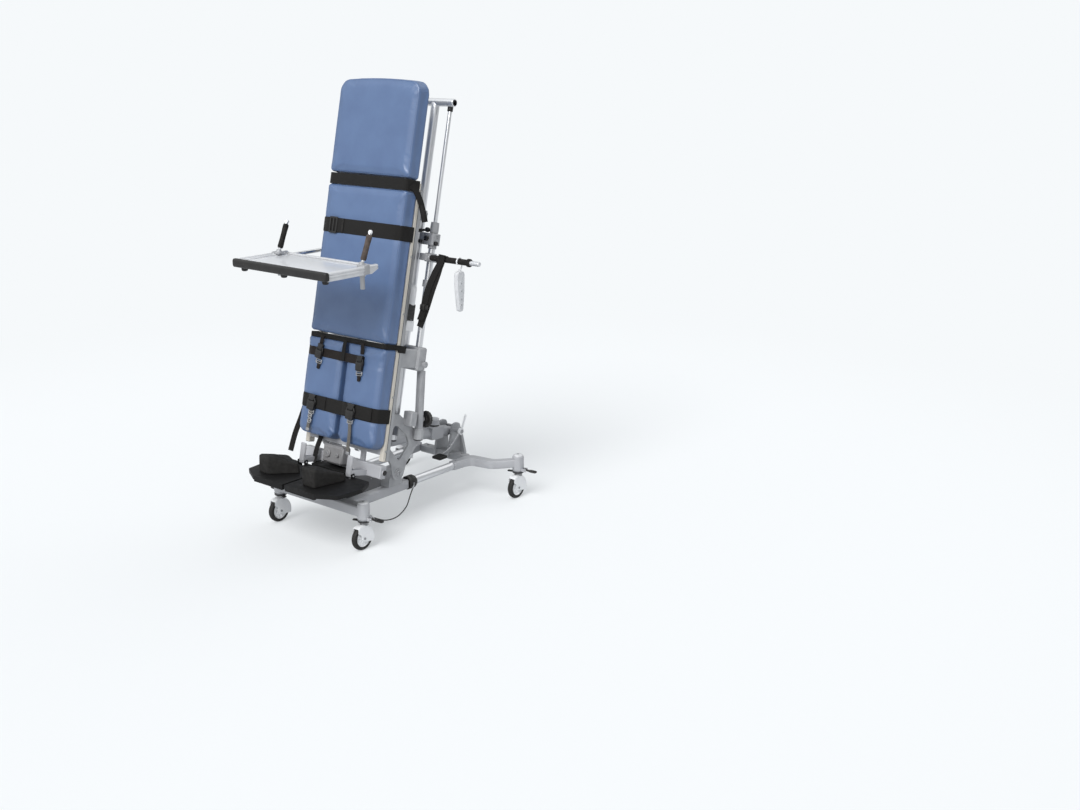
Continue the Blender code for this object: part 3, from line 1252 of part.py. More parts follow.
def make_tray():
    """Panel between two side channels, the front bumper and the two grips."""
    y0, y1 = TRAY_Y
    z0, z1 = TRAY_Z
    inner = TRAY_HALF - CHANNEL_WIDE + 0.004
    panel = block("tray_panel", (-inner, y0 + 0.004, z0 + 0.008), (inner, y1 - 0.004, z0 + 0.014),
                  WHITE)
    parts = []
    for sign in (-1, 1):
        x = span(sign, TRAY_HALF - CHANNEL_WIDE, TRAY_HALF)
        parts.append(block("tray_channel", (x[0], y0, z0), (x[1], y1, z1), helper=True,
                           edge=0.004))
    parts.append(block("tray_back", (-inner, y1 - 0.020, z0 + 0.001), (inner, y1 - 0.001, z1 - 0.006),
                       helper=True))
    parts.append(block("tray_front", (-inner, y0 + 0.001, z0 + 0.001),
                       (inner, y0 + 0.016, z1 - 0.006), helper=True))
    ear = block("tray_ear", (ARM_X + 0.0115, TRAY_HINGE_Y - 0.012, ARM_Z - 0.014),
                (ARM_X + 0.0295, TRAY_HINGE_Y + 0.011, TRAY_Z[0] + 0.010), helper=True)
    bore = cylinder("ear_bore", (ARM_X, TRAY_HINGE_Y, ARM_Z), (ARM_X + 0.043, TRAY_HINGE_Y, ARM_Z),
                    0.005 + FIT, sides=8, helper=True)
    knobs = []
    for x in (-0.200, -0.020, 0.160):
        knobs.append(cylinder("tray_knob", (x, y0 + 0.040, z0 + 0.010), (x, y0 + 0.040, z0 - 0.016),
                              0.013, sides=10, helper=True))
    join(panel, *parts, ear, *knobs)
    cut(panel, bore)
    reach = TRAY_HALF + 0.003
    flat("tray_bumper", rounded([
        (-reach, y0 - BUMPER_DEEP, 0.014), (reach, y0 - BUMPER_DEEP, 0.014),
        (reach, y0 - GAP, 0.0), (-reach, y0 - GAP, 0.0)], 4), z1 - z0 + 0.004,
        Matrix.Translation((0.0, 0.0, (z0 + z1) / 2)), BLACK, edge=0.005)


def make_grips():
    """Bent posts beside the tray, foam on their upper part and a ball on top."""
    for side, sign in SIDES:
        x = sign * GRIP_X
        low = Vector((x, GRIP_Y[0], TRAY_Z[1] + GAP))
        top = Vector((x, GRIP_Y[1], GRIP_Z[1]))
        foot = cylinder(f"tray_grip_{side}", low + Vector((0, 0, 0.0)),
                        low + Vector((0, 0, 0.012)), 0.017, BLACK, sides=10)
        along = (top - low).normalized()
        post = cylinder("grip_post", low + Vector((0, 0, 0.004)), top, 0.008, sides=8, helper=True)
        foam = cylinder("grip_foam", low + along * 0.022, top - along * 0.012, 0.0145, sides=10,
                        edge=0.005, helper=True)
        knob = ball("grip_ball", top, 0.011, helper=True)
        join(foot, post, foam, knob)


# Side bar with hand control
def make_side_bar():
    s, x = SIDE_S, ROD_X
    clamp = cylinder("side_bar", (x, s - 0.022, ROD_N), (x, s + 0.022, ROD_N),
                     COLUMN_RADIUS + 0.012, CAST, surface, sides=14)
    block_x = (x - 0.016, x + 0.036)
    bridge = block("bar_bridge", (block_x[0], s - 0.018, ROD_N + 0.020),
                   (block_x[1], s + 0.018, SIDE_N + 0.018), parent=surface, edge=0.004,
                   helper=True)
    bar = cylinder("bar", (x - 0.012, s, SIDE_N), (SIDE_END, s, SIDE_N), SIDE_RADIUS,
                   parent=surface, sides=10, edge=0.004, helper=True)
    foam = cylinder("bar_foam", (x + 0.050, s, SIDE_N), (SIDE_END - 0.060, s, SIDE_N),
                    SIDE_RADIUS + 0.006, parent=surface, sides=12, edge=0.004, helper=True)
    column = cylinder("column_room", (x, s - 0.100, ROD_N), (x, s + 0.100, ROD_N),
                      COLUMN_RADIUS + FIT, parent=surface, sides=10, helper=True)
    join(clamp, bridge, bar, foam)
    cut(clamp, column)


def make_hand_control():
    """Paddle handset on a hook that hangs from the side bar."""
    x = 0.500
    y = PAD_FOOT_Y + SIDE_S * COS - SIDE_N * SIN
    z = PAD_FOOT_Z + SIDE_S * SIN + SIDE_N * COS
    ring = SIDE_RADIUS + 0.006 + 0.0035 + FIT
    hook_line = [(x, y + ring * math.cos(math.radians(a)),
                  z + ring * math.sin(math.radians(a))) for a in range(215, -35, -25)]
    hook_line += [(x, y + 0.020, z - 0.030), (x, y + 0.004, z - 0.055)]
    hook = bent_tube("hand_control", hook_line, 0.0035, WHITE)
    low = z - 0.250
    outline = rounded([
        (y - 0.022, low, 0.020), (y + 0.022, low, 0.020), (y + 0.026, z - 0.120, 0.030),
        (y + 0.016, z - 0.046, 0.012), (y - 0.014, z - 0.046, 0.012), (y - 0.026, z - 0.120, 0.030)],
        4)
    paddle = flat("paddle", outline, 0.024, across_frame(x), helper=True, edge=0.006)
    join(hook, paddle)


def make_stowed_strap():
    """The spare belt, folded over the side bar's inner end and hanging behind it."""
    x = ROD_X + 0.062
    near = SIDE_N + SIDE_RADIUS + 0.006 + GAP
    points = [(0.030, near), (-0.020, near), (-0.080, near + 0.012), (-0.170, near + 0.020),
              (-0.270, near + 0.014), (-0.345, near + 0.022)]
    stations = []
    for k, (ds, n) in enumerate(points):
        stations.append(((x + 0.008 * k, SIDE_S + ds, n), (1, 0, 0), (0, 0.1, 1)))
    ribbon("stowed_strap", stations, 0.036, 0.014, WEB, surface)


# Straps
def band_stations(s, lift, back=-0.108):
    """Stations of a belt from one edge profile over the pad's front to the other."""
    low, high = -PAD_WIDTH / 2 - GAP, PAD_WIDTH / 2 + GAP
    corner = 0.026
    places = [(low, back, (-1, 0, 0)), (low, -corner, (-1, 0, 0))]
    for k in range(1, 4):
        turn = math.radians(180 - 90 * k / 4)
        places.append((low + corner + corner * math.cos(turn),
                       -corner + (corner + lift) * math.sin(turn),
                       (math.cos(turn), 0, math.sin(turn))))
    places.append((low + corner, lift, (0, 0, 1)))
    places.append((high - corner, lift, (0, 0, 1)))
    for k in range(1, 4):
        turn = math.radians(90 - 90 * k / 4)
        places.append((high - corner + corner * math.cos(turn),
                       -corner + (corner + lift) * math.sin(turn),
                       (math.cos(turn), 0, math.sin(turn))))
    places += [(high, -corner, (1, 0, 0)), (high, back, (1, 0, 0))]
    return [((x, s, n), (0, 1, 0), out) for x, n, out in places]


def buckle(name, x, s, wide, tall, lift):
    """A side-release buckle's body with its two prongs' window."""
    return block(name, (x - wide / 2, s - tall / 2, lift), (x + wide / 2, s + tall / 2,
                                                            lift + 0.014),
                 parent=surface, edge=0.004, helper=True)


def make_straps():
    half = PAD_WIDTH / 2
    lift = 0.0012
    s = sum(CHEST_S) / 2
    chest = ribbon("chest_belt", band_stations(s, lift),
                   CHEST_S[1] - CHEST_S[0], WEB_THICK, WEB, surface)
    join(chest, buckle("chest_buckle", -0.175, s, 0.090, 0.066, lift + 0.001),
         buckle("chest_clip", -0.085, s, 0.040, 0.070, lift + 0.001))
    s = (HEAD_PAD_S[0] + TORSO_PAD_S[1]) / 2
    head = ribbon("head_strap", band_stations(s, 0.0010, -0.098), 0.028, WEB_THICK,
                  WEB, surface)
    tail = smooth_route([(half + 0.001, s, -0.030), (half + 0.018, s - 0.030, -0.060),
                         (half + 0.040, s - 0.090, -0.090), (half + 0.046, s - 0.160, -0.100)], 3)
    tail_band = ribbon("head_tail", [(p, (0.25, 1.0, 0.0), (1, -0.2, 0)) for p in tail], 0.026,
                       0.005, parent=surface, helper=True)
    join(head, tail_band)
    s = sum(KNEE_S) / 2
    lift = 0.0002
    # The knee band ends in its right buckle, and a narrow strap above it runs right across.
    end = (KNEE_BUCKLES[1] + 0.020, s, lift), (0, 1, 0), (0, 0, 1)
    knee = ribbon("knee_strap", [*band_stations(s, lift)[:6], end],
                  KNEE_S[1] - KNEE_S[0], WEB_THICK, WEB, surface)
    narrow = ribbon("narrow_strap", band_stations(NARROW_S, lift), NARROW_WIDE, WEB_THICK,
                    parent=surface, helper=True)
    link = block("strap_link", (-0.012, s, lift + 0.0005), (0.014, NARROW_S, lift + 0.0035),
                 parent=surface, helper=True)
    join(knee, narrow, link, buckle("knee_buckle", KNEE_BUCKLES[0], s + 0.006, 0.062, 0.066, lift + 0.001),
         buckle("knee_buckle", KNEE_BUCKLES[1], s - 0.014, 0.062, 0.070, lift + 0.001))
    s = sum(ANKLE_S) / 2
    lift = 0.0004
    ankle = ribbon("ankle_strap", band_stations(s, lift),
                   ANKLE_S[1] - ANKLE_S[0], WEB_THICK, WEB, surface)
    pieces = []
    for x in (-0.165, 0.115):
        pieces.append(buckle("ankle_buckle", x, s - 0.004, 0.070, 0.076, lift + 0.001))
        pieces.append(block("ankle_tab", (x - 0.012, 0.050, lift + 0.004),
                            (x + 0.014, s - 0.020, lift + 0.009), parent=surface,
                            helper=True))
    join(ankle, *pieces)


make_foot_carrier()
make_footplates()
make_foot_blocks()
make_tray_carrier()
make_tray()
make_grips()
make_side_bar()
make_hand_control()
make_stowed_strap()
make_straps()
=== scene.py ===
# Tilt table: looks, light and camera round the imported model.
# World: +X to the near side, -Y to the foot end, +Z up, metres.
# The lying surface has its own measure: x across, s from its foot to its head, n out of its front.
import math

import bmesh
import bpy
import numpy as np
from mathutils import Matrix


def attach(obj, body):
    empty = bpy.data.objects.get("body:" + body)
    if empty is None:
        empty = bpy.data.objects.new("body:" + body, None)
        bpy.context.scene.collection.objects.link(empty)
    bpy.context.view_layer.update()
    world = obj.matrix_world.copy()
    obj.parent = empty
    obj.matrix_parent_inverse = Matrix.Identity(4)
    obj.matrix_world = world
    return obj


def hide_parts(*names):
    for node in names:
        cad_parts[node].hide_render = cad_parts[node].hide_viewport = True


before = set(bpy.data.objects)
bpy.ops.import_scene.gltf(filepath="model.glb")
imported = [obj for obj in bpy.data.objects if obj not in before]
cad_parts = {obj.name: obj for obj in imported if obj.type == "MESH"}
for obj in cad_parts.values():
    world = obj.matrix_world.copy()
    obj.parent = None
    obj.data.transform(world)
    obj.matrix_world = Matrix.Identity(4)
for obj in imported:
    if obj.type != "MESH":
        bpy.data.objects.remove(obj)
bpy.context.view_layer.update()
sides = (("left", -1), ("right", 1))
corners = (("front_left", -0.315, -0.53, 162), ("front_right", 0.315, -0.53, 18),
           ("rear_left", -0.44, 0.53, 162), ("rear_right", 0.44, 0.53, 18))  # post x, y, heading
lieAngle = math.radians(77)
lieFoot = np.array((0.0, -0.432, 0.455))
lieAlong = np.array((0.0, math.cos(lieAngle), math.sin(lieAngle)))
lieOut = np.array((0.0, -math.sin(lieAngle), math.cos(lieAngle)))
lieAcross = np.array((1.0, 0.0, 0.0))
print("frame loaded")


# Points of the lying surface in world coordinates: foot point plus s along it plus n out of it
def lie(x, s, n):
    x, s, n = np.broadcast_arrays(*(np.asarray(v, float) for v in (x, s, n)))
    return (lieFoot + x[..., None] * lieAcross + s[..., None] * lieAlong + n[..., None] * lieOut)


# Vectors brought to a length of one
def unit(v):
    v = np.asarray(v, float)
    return v / np.maximum(np.linalg.norm(v, axis=-1, keepdims=True), 1e-12)


# Quads between the rows and columns of a grid, closed round where asked
def gridFaces(rows, columns, roundRows=False, roundColumns=True):
    i = np.arange(rows if roundRows else rows - 1)[:, None]
    j = np.arange(columns if roundColumns else columns - 1)[None, :]
    down, over = (i + 1) % rows, (j + 1) % columns
    quads = np.stack(np.broadcast_arrays(i * columns + j, i * columns + over, down * columns + over,
                                         down * columns + j), -1)
    return quads.reshape(-1, 4).tolist()


# A shape is its points, its faces and a map of two lengths in metres for each point
def closedShape(grid, uv=None):
    rows, columns = grid.shape[:2]
    faces = gridFaces(rows, columns)
    faces.append(list(range(columns)))
    faces.append(list(range((rows - 1) * columns, rows * columns)))
    if uv is None:
        uv = np.zeros((rows, columns, 2))
    return grid.reshape(-1, 3), faces, uv.reshape(-1, 2)


# Angles evenly round a circle
def around(count):
    return np.linspace(0, 2 * math.pi, count, endpoint=False)


# Millimetres as metres: a table of rows
def mm(*rows):
    return np.array(rows, float) / 1000


# Corners (x, y, radius) of a plane outline, each turned into a curve between its two tangent points
def outlineOf(cornerList, steps=7):
    p = np.array([c[:2] for c in cornerList], float)
    r = np.array([c[2] for c in cornerList], float)[:, None]
    back, ahead = np.roll(p, 1, 0) - p, np.roll(p, -1, 0) - p
    half = np.arccos(np.clip((unit(back) * unit(ahead)).sum(1), -1, 1))[:, None] / 2
    reach = r / np.tan(np.maximum(half, 0.05))
    room = np.minimum(np.linalg.norm(back, axis=1), np.linalg.norm(ahead, axis=1))[:, None]
    reach = np.maximum(np.minimum(reach, room * 0.49), 1e-5)
    t = np.linspace(0, 1, steps)[None, :, None]
    a, b = (p + unit(back) * reach)[:, None], (p + unit(ahead) * reach)[:, None]
    weight = np.sin(half)[:, None]  # a circle's arc as a rational curve of second degree
    bottom = (1 - t) ** 2 + 2 * t * (1 - t) * weight + t ** 2
    curve = ((1 - t) ** 2 * a + 2 * t * (1 - t) * weight * p[:, None] + t ** 2 * b) / bottom
    return curve.reshape(-1, 2)


# A rectangle's outline between two corners, with one radius or one for each corner
def plate(x0, y0, x1, y1, radius, steps=7):
    a, b, c, d = radius if isinstance(radius, tuple) else (radius,) * 4
    return outlineOf([(x0, y0, a), (x1, y0, b), (x1, y1, c), (x0, y1, d)], steps)


# A smooth line through its points: the cubic between each pair takes its slopes from the neighbours
def lineThrough(points, steps=10):
    p = np.array(points, float)
    q = np.concatenate([2 * p[:1] - p[1:2], p, 2 * p[-1:] - p[-2:-1]])
    t = np.linspace(0, 1, steps, endpoint=False)[None, :, None]
    a, b, c, d = (q[k:len(q) - 3 + k][:, None] for k in range(4))
    curve = 0.5 * (2 * b + (c - a) * t + (2 * a - 5 * b + 4 * c - d) * t ** 2 + (3 * b - a - 3 * c + d)
                   * t ** 3)
    return np.concatenate([curve.reshape(-1, p.shape[1]), p[-1:]])


# A section carried along a path: across is the side direction made square to the path
def carried(path, section, side=(0, 0, 1)):
    path = np.asarray(path, float)
    section = np.asarray(section, float)
    if section.ndim == 2:
        section = np.repeat(section[None], len(path), 0)
    along = unit(np.gradient(path, axis=0))
    side = np.broadcast_to(np.asarray(side, float), path.shape)
    across = unit(side - (side * along).sum(1, keepdims=True) * along)
    up = np.cross(along, across)
    grid = (path[:, None] + section[:, :, :1] * across[:, None] + section[:, :, 1:] * up[:, None])
    step = np.linalg.norm(np.diff(path, axis=0), axis=1)
    length = np.concatenate([[0], np.cumsum(step)])
    ring = np.linalg.norm(np.diff(section[0], axis=0, append=section[0][:1]), axis=1)
    girth = np.concatenate([[0], np.cumsum(ring)[:-1]])
    uv = np.stack(np.broadcast_arrays(girth[None, :], length[:, None]), -1)
    return closedShape(grid, uv)


# Rings of a circle along a path, its ends rounded over by a quarter circle of the edge radius
def tube(path, radius, edge=0.0015, count=28, side=(0.31, 0.17, 0.94)):
    path = np.asarray(path, float)
    radius = np.broadcast_to(np.asarray(radius, float), (len(path),)).copy()
    turn = np.linspace(0, math.pi / 2, 4)
    start, end = unit(path[1] - path[0]), unit(path[-1] - path[-2])
    first = path[0] + (edge * (1 - np.cos(turn)))[:, None] * start
    last = path[-1] - (edge * (1 - np.cos(turn[::-1])))[:, None] * end
    small = radius[0] - edge * (1 - np.sin(turn))
    smallEnd = radius[-1] - edge * (1 - np.sin(turn[::-1]))
    path = np.concatenate([first, path[1:-1], last])
    radius = np.concatenate([small, radius[1:-1], smallEnd])
    angle = around(count)
    circle = np.stack([np.cos(angle), np.sin(angle)], -1)
    return carried(path, circle[None] * radius[:, None, None], side)


# A frame of reference: its origin and three directions. The lying surface's has them across, along and out
def liePlace(x=0.0, s=0.0, n=0.0):
    return lie(x, s, n), lieAcross, lieAlong, lieOut


# The same in world directions, turned about z by an angle
def worldPlace(x=0.0, y=0.0, z=0.0, turn=0.0):
    c, d = math.cos(turn), math.sin(turn)
    return (np.array((x, y, z)), np.array((c, d, 0.0)), np.array((-d, c, 0.0)),
            np.array((0.0, 0.0, 1.0)))


# A place whose third direction runs along the axis
def axisPlace(start, axis):
    axis = unit(axis)
    across = unit(np.cross(axis, (0.21, 0.98, 0.03) if abs(axis[2]) > 0.5 else (0.0, 0.0, 1.0)))
    return np.asarray(start, float), across, np.cross(axis, across), axis


# World points of three measures in a place
def put(place, u, v, w):
    u, v, w = np.broadcast_arrays(*(np.asarray(k, float) for k in (u, v, w)))
    return (place[0] + u[..., None] * place[1] + v[..., None] * place[2] + w[..., None] * place[3])


# An outline turned anticlockwise, and the direction inwards at each of its points
def inwardOf(outline):
    outline = np.asarray(outline, float)
    ahead = np.roll(outline, -1, 0)
    if (outline[:, 0] * ahead[:, 1] - ahead[:, 0] * outline[:, 1]).sum() < 0:
        outline = outline[::-1]
    tangent = unit(np.roll(outline, -1, 0) - np.roll(outline, 1, 0))
    return outline, np.stack([-tangent[:, 1], tangent[:, 0]], -1)


# An outline raised from low to high: rings drawn in by a quarter circle at both rims
def slab(outline, low, high, place, edge=0.002, steps=4):
    outline, inward = inwardOf(outline)
    turn = np.linspace(0, math.pi / 2, steps)
    inset = edge * (1 - np.sin(turn))
    height = np.concatenate([low + edge * (1 - np.cos(turn)), high - edge * (1 - np.cos(turn[::-1]))])
    inset = np.concatenate([inset, inset[::-1]])
    ring = outline[None] + inward[None] * inset[:, None, None]
    grid = put(place, ring[..., 0], ring[..., 1], height[:, None])
    return closedShape(grid)


# A block between two opposite corners: rounded in plan by the corner, at both rims by the edge
def box(low, high, place, edge=0.003, corner=0.004):
    return slab(plate(*low[:2], *high[:2], corner, 5), low[2], high[2], place, edge)


# The profile of a disc or a ring from low to high with both outer rims bevelled: in by the edge, over
# the rise
def barrel(inner, outer, low, high, edge, rise=None):
    rise = edge if rise is None else rise
    return [(inner, low), (outer - edge, low), (outer, low + rise), (outer, high - rise),
            (outer - edge, high), (inner, high)]


# A profile of radius and height turned about an axis, closed at its poles or back onto itself
def turned(profile, start, axis, count=40, ring=False):
    profile = np.asarray(profile, float)
    angle = around(count)
    place = axisPlace(start, axis)
    grid = put(place, profile[:, :1] * np.cos(angle), profile[:, :1] * np.sin(angle), profile[:, 1:])
    if not ring:
        return closedShape(grid)
    return grid.reshape(-1, 3), gridFaces(*grid.shape[:2], True), np.zeros((grid.size // 3, 2))


# A straight round bar with rounded ends
def rod(start, end, radius, edge=0.0015, count=28):
    return tube(np.array([start, end]), radius, edge, count)


# A bolt: washer and a hexagonal head with a domed top, standing on a face
def bolt(center, axis, across=0.01, tall=0.005):
    place = axisPlace(center, axis)
    turn = np.radians(np.arange(6) * 60.0)
    head = np.stack([np.cos(turn), np.sin(turn)], -1) * across / math.sqrt(3)
    washer = turned([(0, 0), (across * 0.72, 0), (across * 0.72, 0.0012), (0, 0.0012)], center, axis,
                    24)
    return [washer, slab(head, 0.001, tall, place, 0.0009)]


# A socket screw: round head with a hexagonal recess
def socketScrew(center, axis, radius=0.0055, tall=0.005):
    angle = around(24)
    place = axisPlace(center, axis)
    sector = (angle + math.pi / 6) % (math.pi / 3) - math.pi / 6
    hexagon = 0.5 * radius / np.cos(sector)
    radii = np.stack([0 * angle + radius * k for k in (1, 1, 0.9)] + [hexagon * 1.05, hexagon, hexagon])
    heights = np.array((0, tall * 0.85, tall, tall, tall * 0.96, tall * 0.35))[:, None]
    return closedShape(put(place, radii * np.cos(angle), radii * np.sin(angle), heights))


# Several shapes as one: their points in a row, their faces counted on
def joined(shapes):
    points, faces, maps, base = [], [], [], 0
    for p, f, m in shapes:
        points.append(p)
        faces += [[k + base for k in face] for face in f]
        maps.append(m)
        base += len(p)
    return np.concatenate(points), faces, np.concatenate(maps)


# Every piece: one mesh of shapes, each with its material; it rides on a body and may stand for nodes
def addPiece(name, shaped, body, nodes=(), sharp=38.0):
    shaped = [(s, m) for group, m in shaped for s in (group if isinstance(group, list) else [group])]
    points, faces, maps = joined([s for s, _ in shaped])
    mesh = bpy.data.meshes.new(name)
    mesh.from_pydata(points.tolist(), [], faces)
    used = list(dict.fromkeys(m.name for _, m in shaped))
    for materialName in used:
        mesh.materials.append(bpy.data.materials[materialName])
    index = np.concatenate([np.full(len(s[1]), used.index(m.name)) for s, m in shaped])
    mesh.polygons.foreach_set("material_index", index.astype(np.int32))
    layer = mesh.uv_layers.new(name="lengths")
    loopPoint = np.zeros(len(mesh.loops), np.int32)
    mesh.loops.foreach_get("vertex_index", loopPoint)
    layer.data.foreach_set("uv", maps[loopPoint].astype(np.float32).ravel())
    return finishMesh(name, mesh, body, nodes, sharp)


def finishMesh(name, mesh, body, nodes, sharp, merge=1e-6):
    bm = bmesh.new()
    bm.from_mesh(mesh)
    bmesh.ops.remove_doubles(bm, verts=bm.verts, dist=merge)
    bmesh.ops.dissolve_degenerate(bm, edges=bm.edges, dist=1e-7)
    bmesh.ops.recalc_face_normals(bm, faces=bm.faces)
    bm.to_mesh(mesh)
    bm.free()
    mesh.shade_smooth()
    mesh.set_sharp_from_angle(angle=math.radians(sharp))
    piece = bpy.data.objects.new(name, mesh)
    bpy.context.scene.collection.objects.link(piece)
    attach(piece, body)
    if nodes:
        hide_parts(*nodes)
    return piece


# A node's own shape, merged and with small rounded edges; merged flat faces keep its outline
def refined(name, node, material, body, width=0.0012):
    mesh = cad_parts[node].data.copy()
    bm = bmesh.new()
    bm.from_mesh(mesh)
    bmesh.ops.remove_doubles(bm, verts=bm.verts, dist=1e-5)
    bmesh.ops.dissolve_limit(bm, angle_limit=math.radians(0.6), verts=bm.verts, edges=bm.edges)
    bm.to_mesh(mesh)
    bm.free()
    mesh.materials.clear()
    mesh.materials.append(material)
    piece = finishMesh(name, mesh, body, (node,), 32.0, 1e-5)
    rounding = piece.modifiers.new("edges", "BEVEL")
    rounding.width, rounding.segments = width, 2
    rounding.limit_method, rounding.angle_limit = "ANGLE", math.radians(36)
    rounding.use_clamp_overlap = True
    rounding.harden_normals = True
    return piece


print("shapes ready")


def tone(code):  # sRGB hex to the linear values that a shader takes
    c = np.array([int(code[k:k + 2], 16) for k in (1, 3, 5)]) / 255.0
    c = np.where(c <= 0.04045, c / 12.92, ((c + 0.055) / 1.055) ** 2.4)
    return (*c.tolist(), 1.0)


# A shader node with its settings, its input values, the sockets that feed it and the one it feeds
def addNode(tree, kind, settings=None, links=None, to=None, **values):
    node = tree.nodes.new("ShaderNode" + kind)
    for key, value in (settings or {}).items():
        setattr(node, key, value)
    for key, value in values.items():
        node.inputs[key.replace("_", " ")].default_value = value
    for key, socket in (links or {}).items():
        tree.links.new(socket, node.inputs[key])
    if to:
        tree.links.new(node.outputs[0], to)
    return node


# A new finish with its shader; the pattern's height, where it has one, goes through one bump
def startFinish(name, code, roughness, metallic=0.0, ior=None, **values):
    material = bpy.data.materials.new(name)
    material.use_nodes = True
    tree = material.node_tree
    tree.nodes.clear()
    shader = addNode(tree, "BsdfPrincipled", Base_Color=tone(code), Roughness=roughness,
                     Metallic=metallic, **values)
    if ior:
        shader.inputs["IOR"].default_value = ior
    addNode(tree, "OutputMaterial", links={"Surface": shader.outputs["BSDF"]})
    return material, tree, shader, addNode(tree, "TexCoord").outputs["Object"]


# Colour mixed from two tones
def twoTones(tree, shader, factor, codes):
    mix = addNode(tree, "Mix", {"data_type": "RGBA"}, {"Factor": factor})
    mix.inputs["A"].default_value, mix.inputs["B"].default_value = (tone(c) for c in codes)
    tree.links.new(mix.outputs["Result"], shader.inputs["Base Color"])
    return mix


# Colour from two tones by a noise of the given size in metres, and roughness between two values
def mottled(tree, shader, where, codes, size, rough, detail=4.0):
    noise = addNode(tree, "TexNoise", links={"Vector": where}, Scale=1 / size, Detail=detail)
    noise = noise.outputs["Fac"]
    spread = addNode(tree, "MapRange", links={"Value": noise}, From_Min=0.32, From_Max=0.68)
    addNode(tree, "MapRange", links={"Value": noise}, to=shader.inputs["Roughness"], From_Min=0.3,
            From_Max=0.7, To_Min=rough[0], To_Max=rough[1])
    return twoTones(tree, shader, spread.outputs["Result"], codes)


# Where a surface's edge is: the normal rounded over the radius departs from the true one
def wornEdge(tree, shader, mix, radius, code, amount):
    rounded = addNode(tree, "Bevel", {"samples": 6}, Radius=radius)
    flatNormal = addNode(tree, "NewGeometry").outputs["Normal"]
    dot = addNode(tree, "VectorMath", {"operation": "DOT_PRODUCT"},
                  {0: rounded.outputs["Normal"], 1: flatNormal})
    edge = addNode(tree, "MapRange", links={"Value": dot.outputs["Value"]}, From_Min=0.995,
                   From_Max=0.9, To_Min=0.0, To_Max=amount)
    worn = addNode(tree, "Mix", {"data_type": "RGBA"}, {"Factor": edge.outputs["Result"]})
    worn.inputs["B"].default_value = tone(code)
    tree.links.new(mix.outputs["Result"], worn.inputs["A"])
    tree.links.new(worn.outputs["Result"], shader.inputs["Base Color"])


# Upholstery vinyl, a PVC skin on knitted backing, embossed with a fine leather grain: soft broad
# highlights, a touch of sheen, small pebbles about 2.4 mm across drawn coarser than the real 1 mm
vinyl = {"codes": ("#506A92", "#49628A"), "blotch": 0.11, "rough": (0.4, 0.5), "pebble": 0.0024,
         "soften": 0.6, "draw": 0.05, "drawn": 1.6, "depth": 0.00016}


def makeVinyl():
    v = vinyl
    material, tree, shader, where = startFinish("embossedVinyl", v["codes"][0], 0.45, ior=1.5,
                                                Specular_IOR_Level=0.95, Sheen_Weight=0.06,
                                                Sheen_Roughness=0.45)
    mottled(tree, shader, where, v["codes"], v["blotch"], v["rough"])
    pebbles = addNode(tree, "TexVoronoi", {"feature": "SMOOTH_F1"}, {"Vector": where},
                      Scale=1 / v["pebble"], Smoothness=v["soften"])
    drawn = addNode(tree, "TexNoise", links={"Vector": where}, Scale=1 / v["draw"], Detail=3.0)
    height = addNode(tree, "Math", {"operation": "MULTIPLY_ADD"},
                     {0: drawn.outputs["Fac"], 2: pebbles.outputs["Distance"]})
    height.inputs[1].default_value = v["drawn"]
    addNode(tree, "Bump", links={"Height": height.outputs["Value"]}, to=shader.inputs["Normal"],
            Distance=v["depth"], Strength=0.55)
    return material


# Woven polyester webbing, dull black: ribs run across the band, a fine chain of them along it. The
# real rib is about 1.3 mm; it is drawn 2.6 mm so that it shows
webbing = {"rib": 0.0026, "yarn": 0.0019, "depth": 0.0005}


def makeWebbing(name="wovenWebbing", codes=("#151413", "#242220")):
    material, tree, shader, _ = startFinish(name, codes[0], 0.8, ior=1.5, Specular_IOR_Level=0.22,
                                            Sheen_Weight=0.05)
    lengths = addNode(tree, "UVMap", {"uv_map": "lengths"}).outputs["UV"]
    waves = []
    for direction, size in (("Y", webbing["rib"]), ("X", webbing["yarn"])):
        wave = addNode(tree, "TexWave", {"wave_type": "BANDS", "bands_direction": direction},
                       {"Vector": lengths}, Scale=2 * math.pi / (20 * size), Distortion=0.35,
                       Detail=1.0, Detail_Scale=1 / 0.01)
        waves.append(wave.outputs["Fac"])
    weave = addNode(tree, "Math", {"operation": "MULTIPLY"}, {0: waves[0], 1: waves[1]})
    twoTones(tree, shader, weave.outputs["Value"], codes)
    addNode(tree, "Bump", links={"Height": weave.outputs["Value"]}, to=shader.inputs["Normal"],
            Distance=webbing["depth"], Strength=1.0)
    return material


# Surfaces with a mottle and a fine grain, each with the grain's size drawn in metres:
# powder: powder coat on welded steel, even satin with an orange peel of about 2 mm and rubbed edges
# cast: sand-cast aluminium under silver paint, grains of about 1.5 mm, softer than the sheet parts
# moulded: a thermoplastic with a spark-eroded texture of about 0.9 mm, lighter along rubbed edges
# foam: closed-cell foam skin, dull, dimpled by cells of about 2 mm
surfaces = {"powder": {"rough": (0.34, 0.46), "blotch": 0.16, "grain": 0.0022, "depth": 0.0001,
                       "bump": 0.5, "worn": (0.0022, 0.55)},
            "cast": {"rough": (0.38, 0.54), "blotch": 0.05, "grain": 0.0015, "detail": 3.0,
                     "depth": 0.00022, "bump": 0.6, "worn": (0.0025, 0.6),
                     "shader": {"metallic": 0.15}},
            "moulded": {"blotch": 0.04, "grain": 0.0009, "depth": 0.0001, "bump": 0.55,
                        "worn": (0.0016, 0.5)},
            "foam": {"rough": (0.72, 0.9), "blotch": 0.02, "grain": 0.0021, "depth": 0.0003,
                     "bump": 0.6, "cells": True, "shader": {"ior": 1.45, "Specular_IOR_Level": 0.25}}}


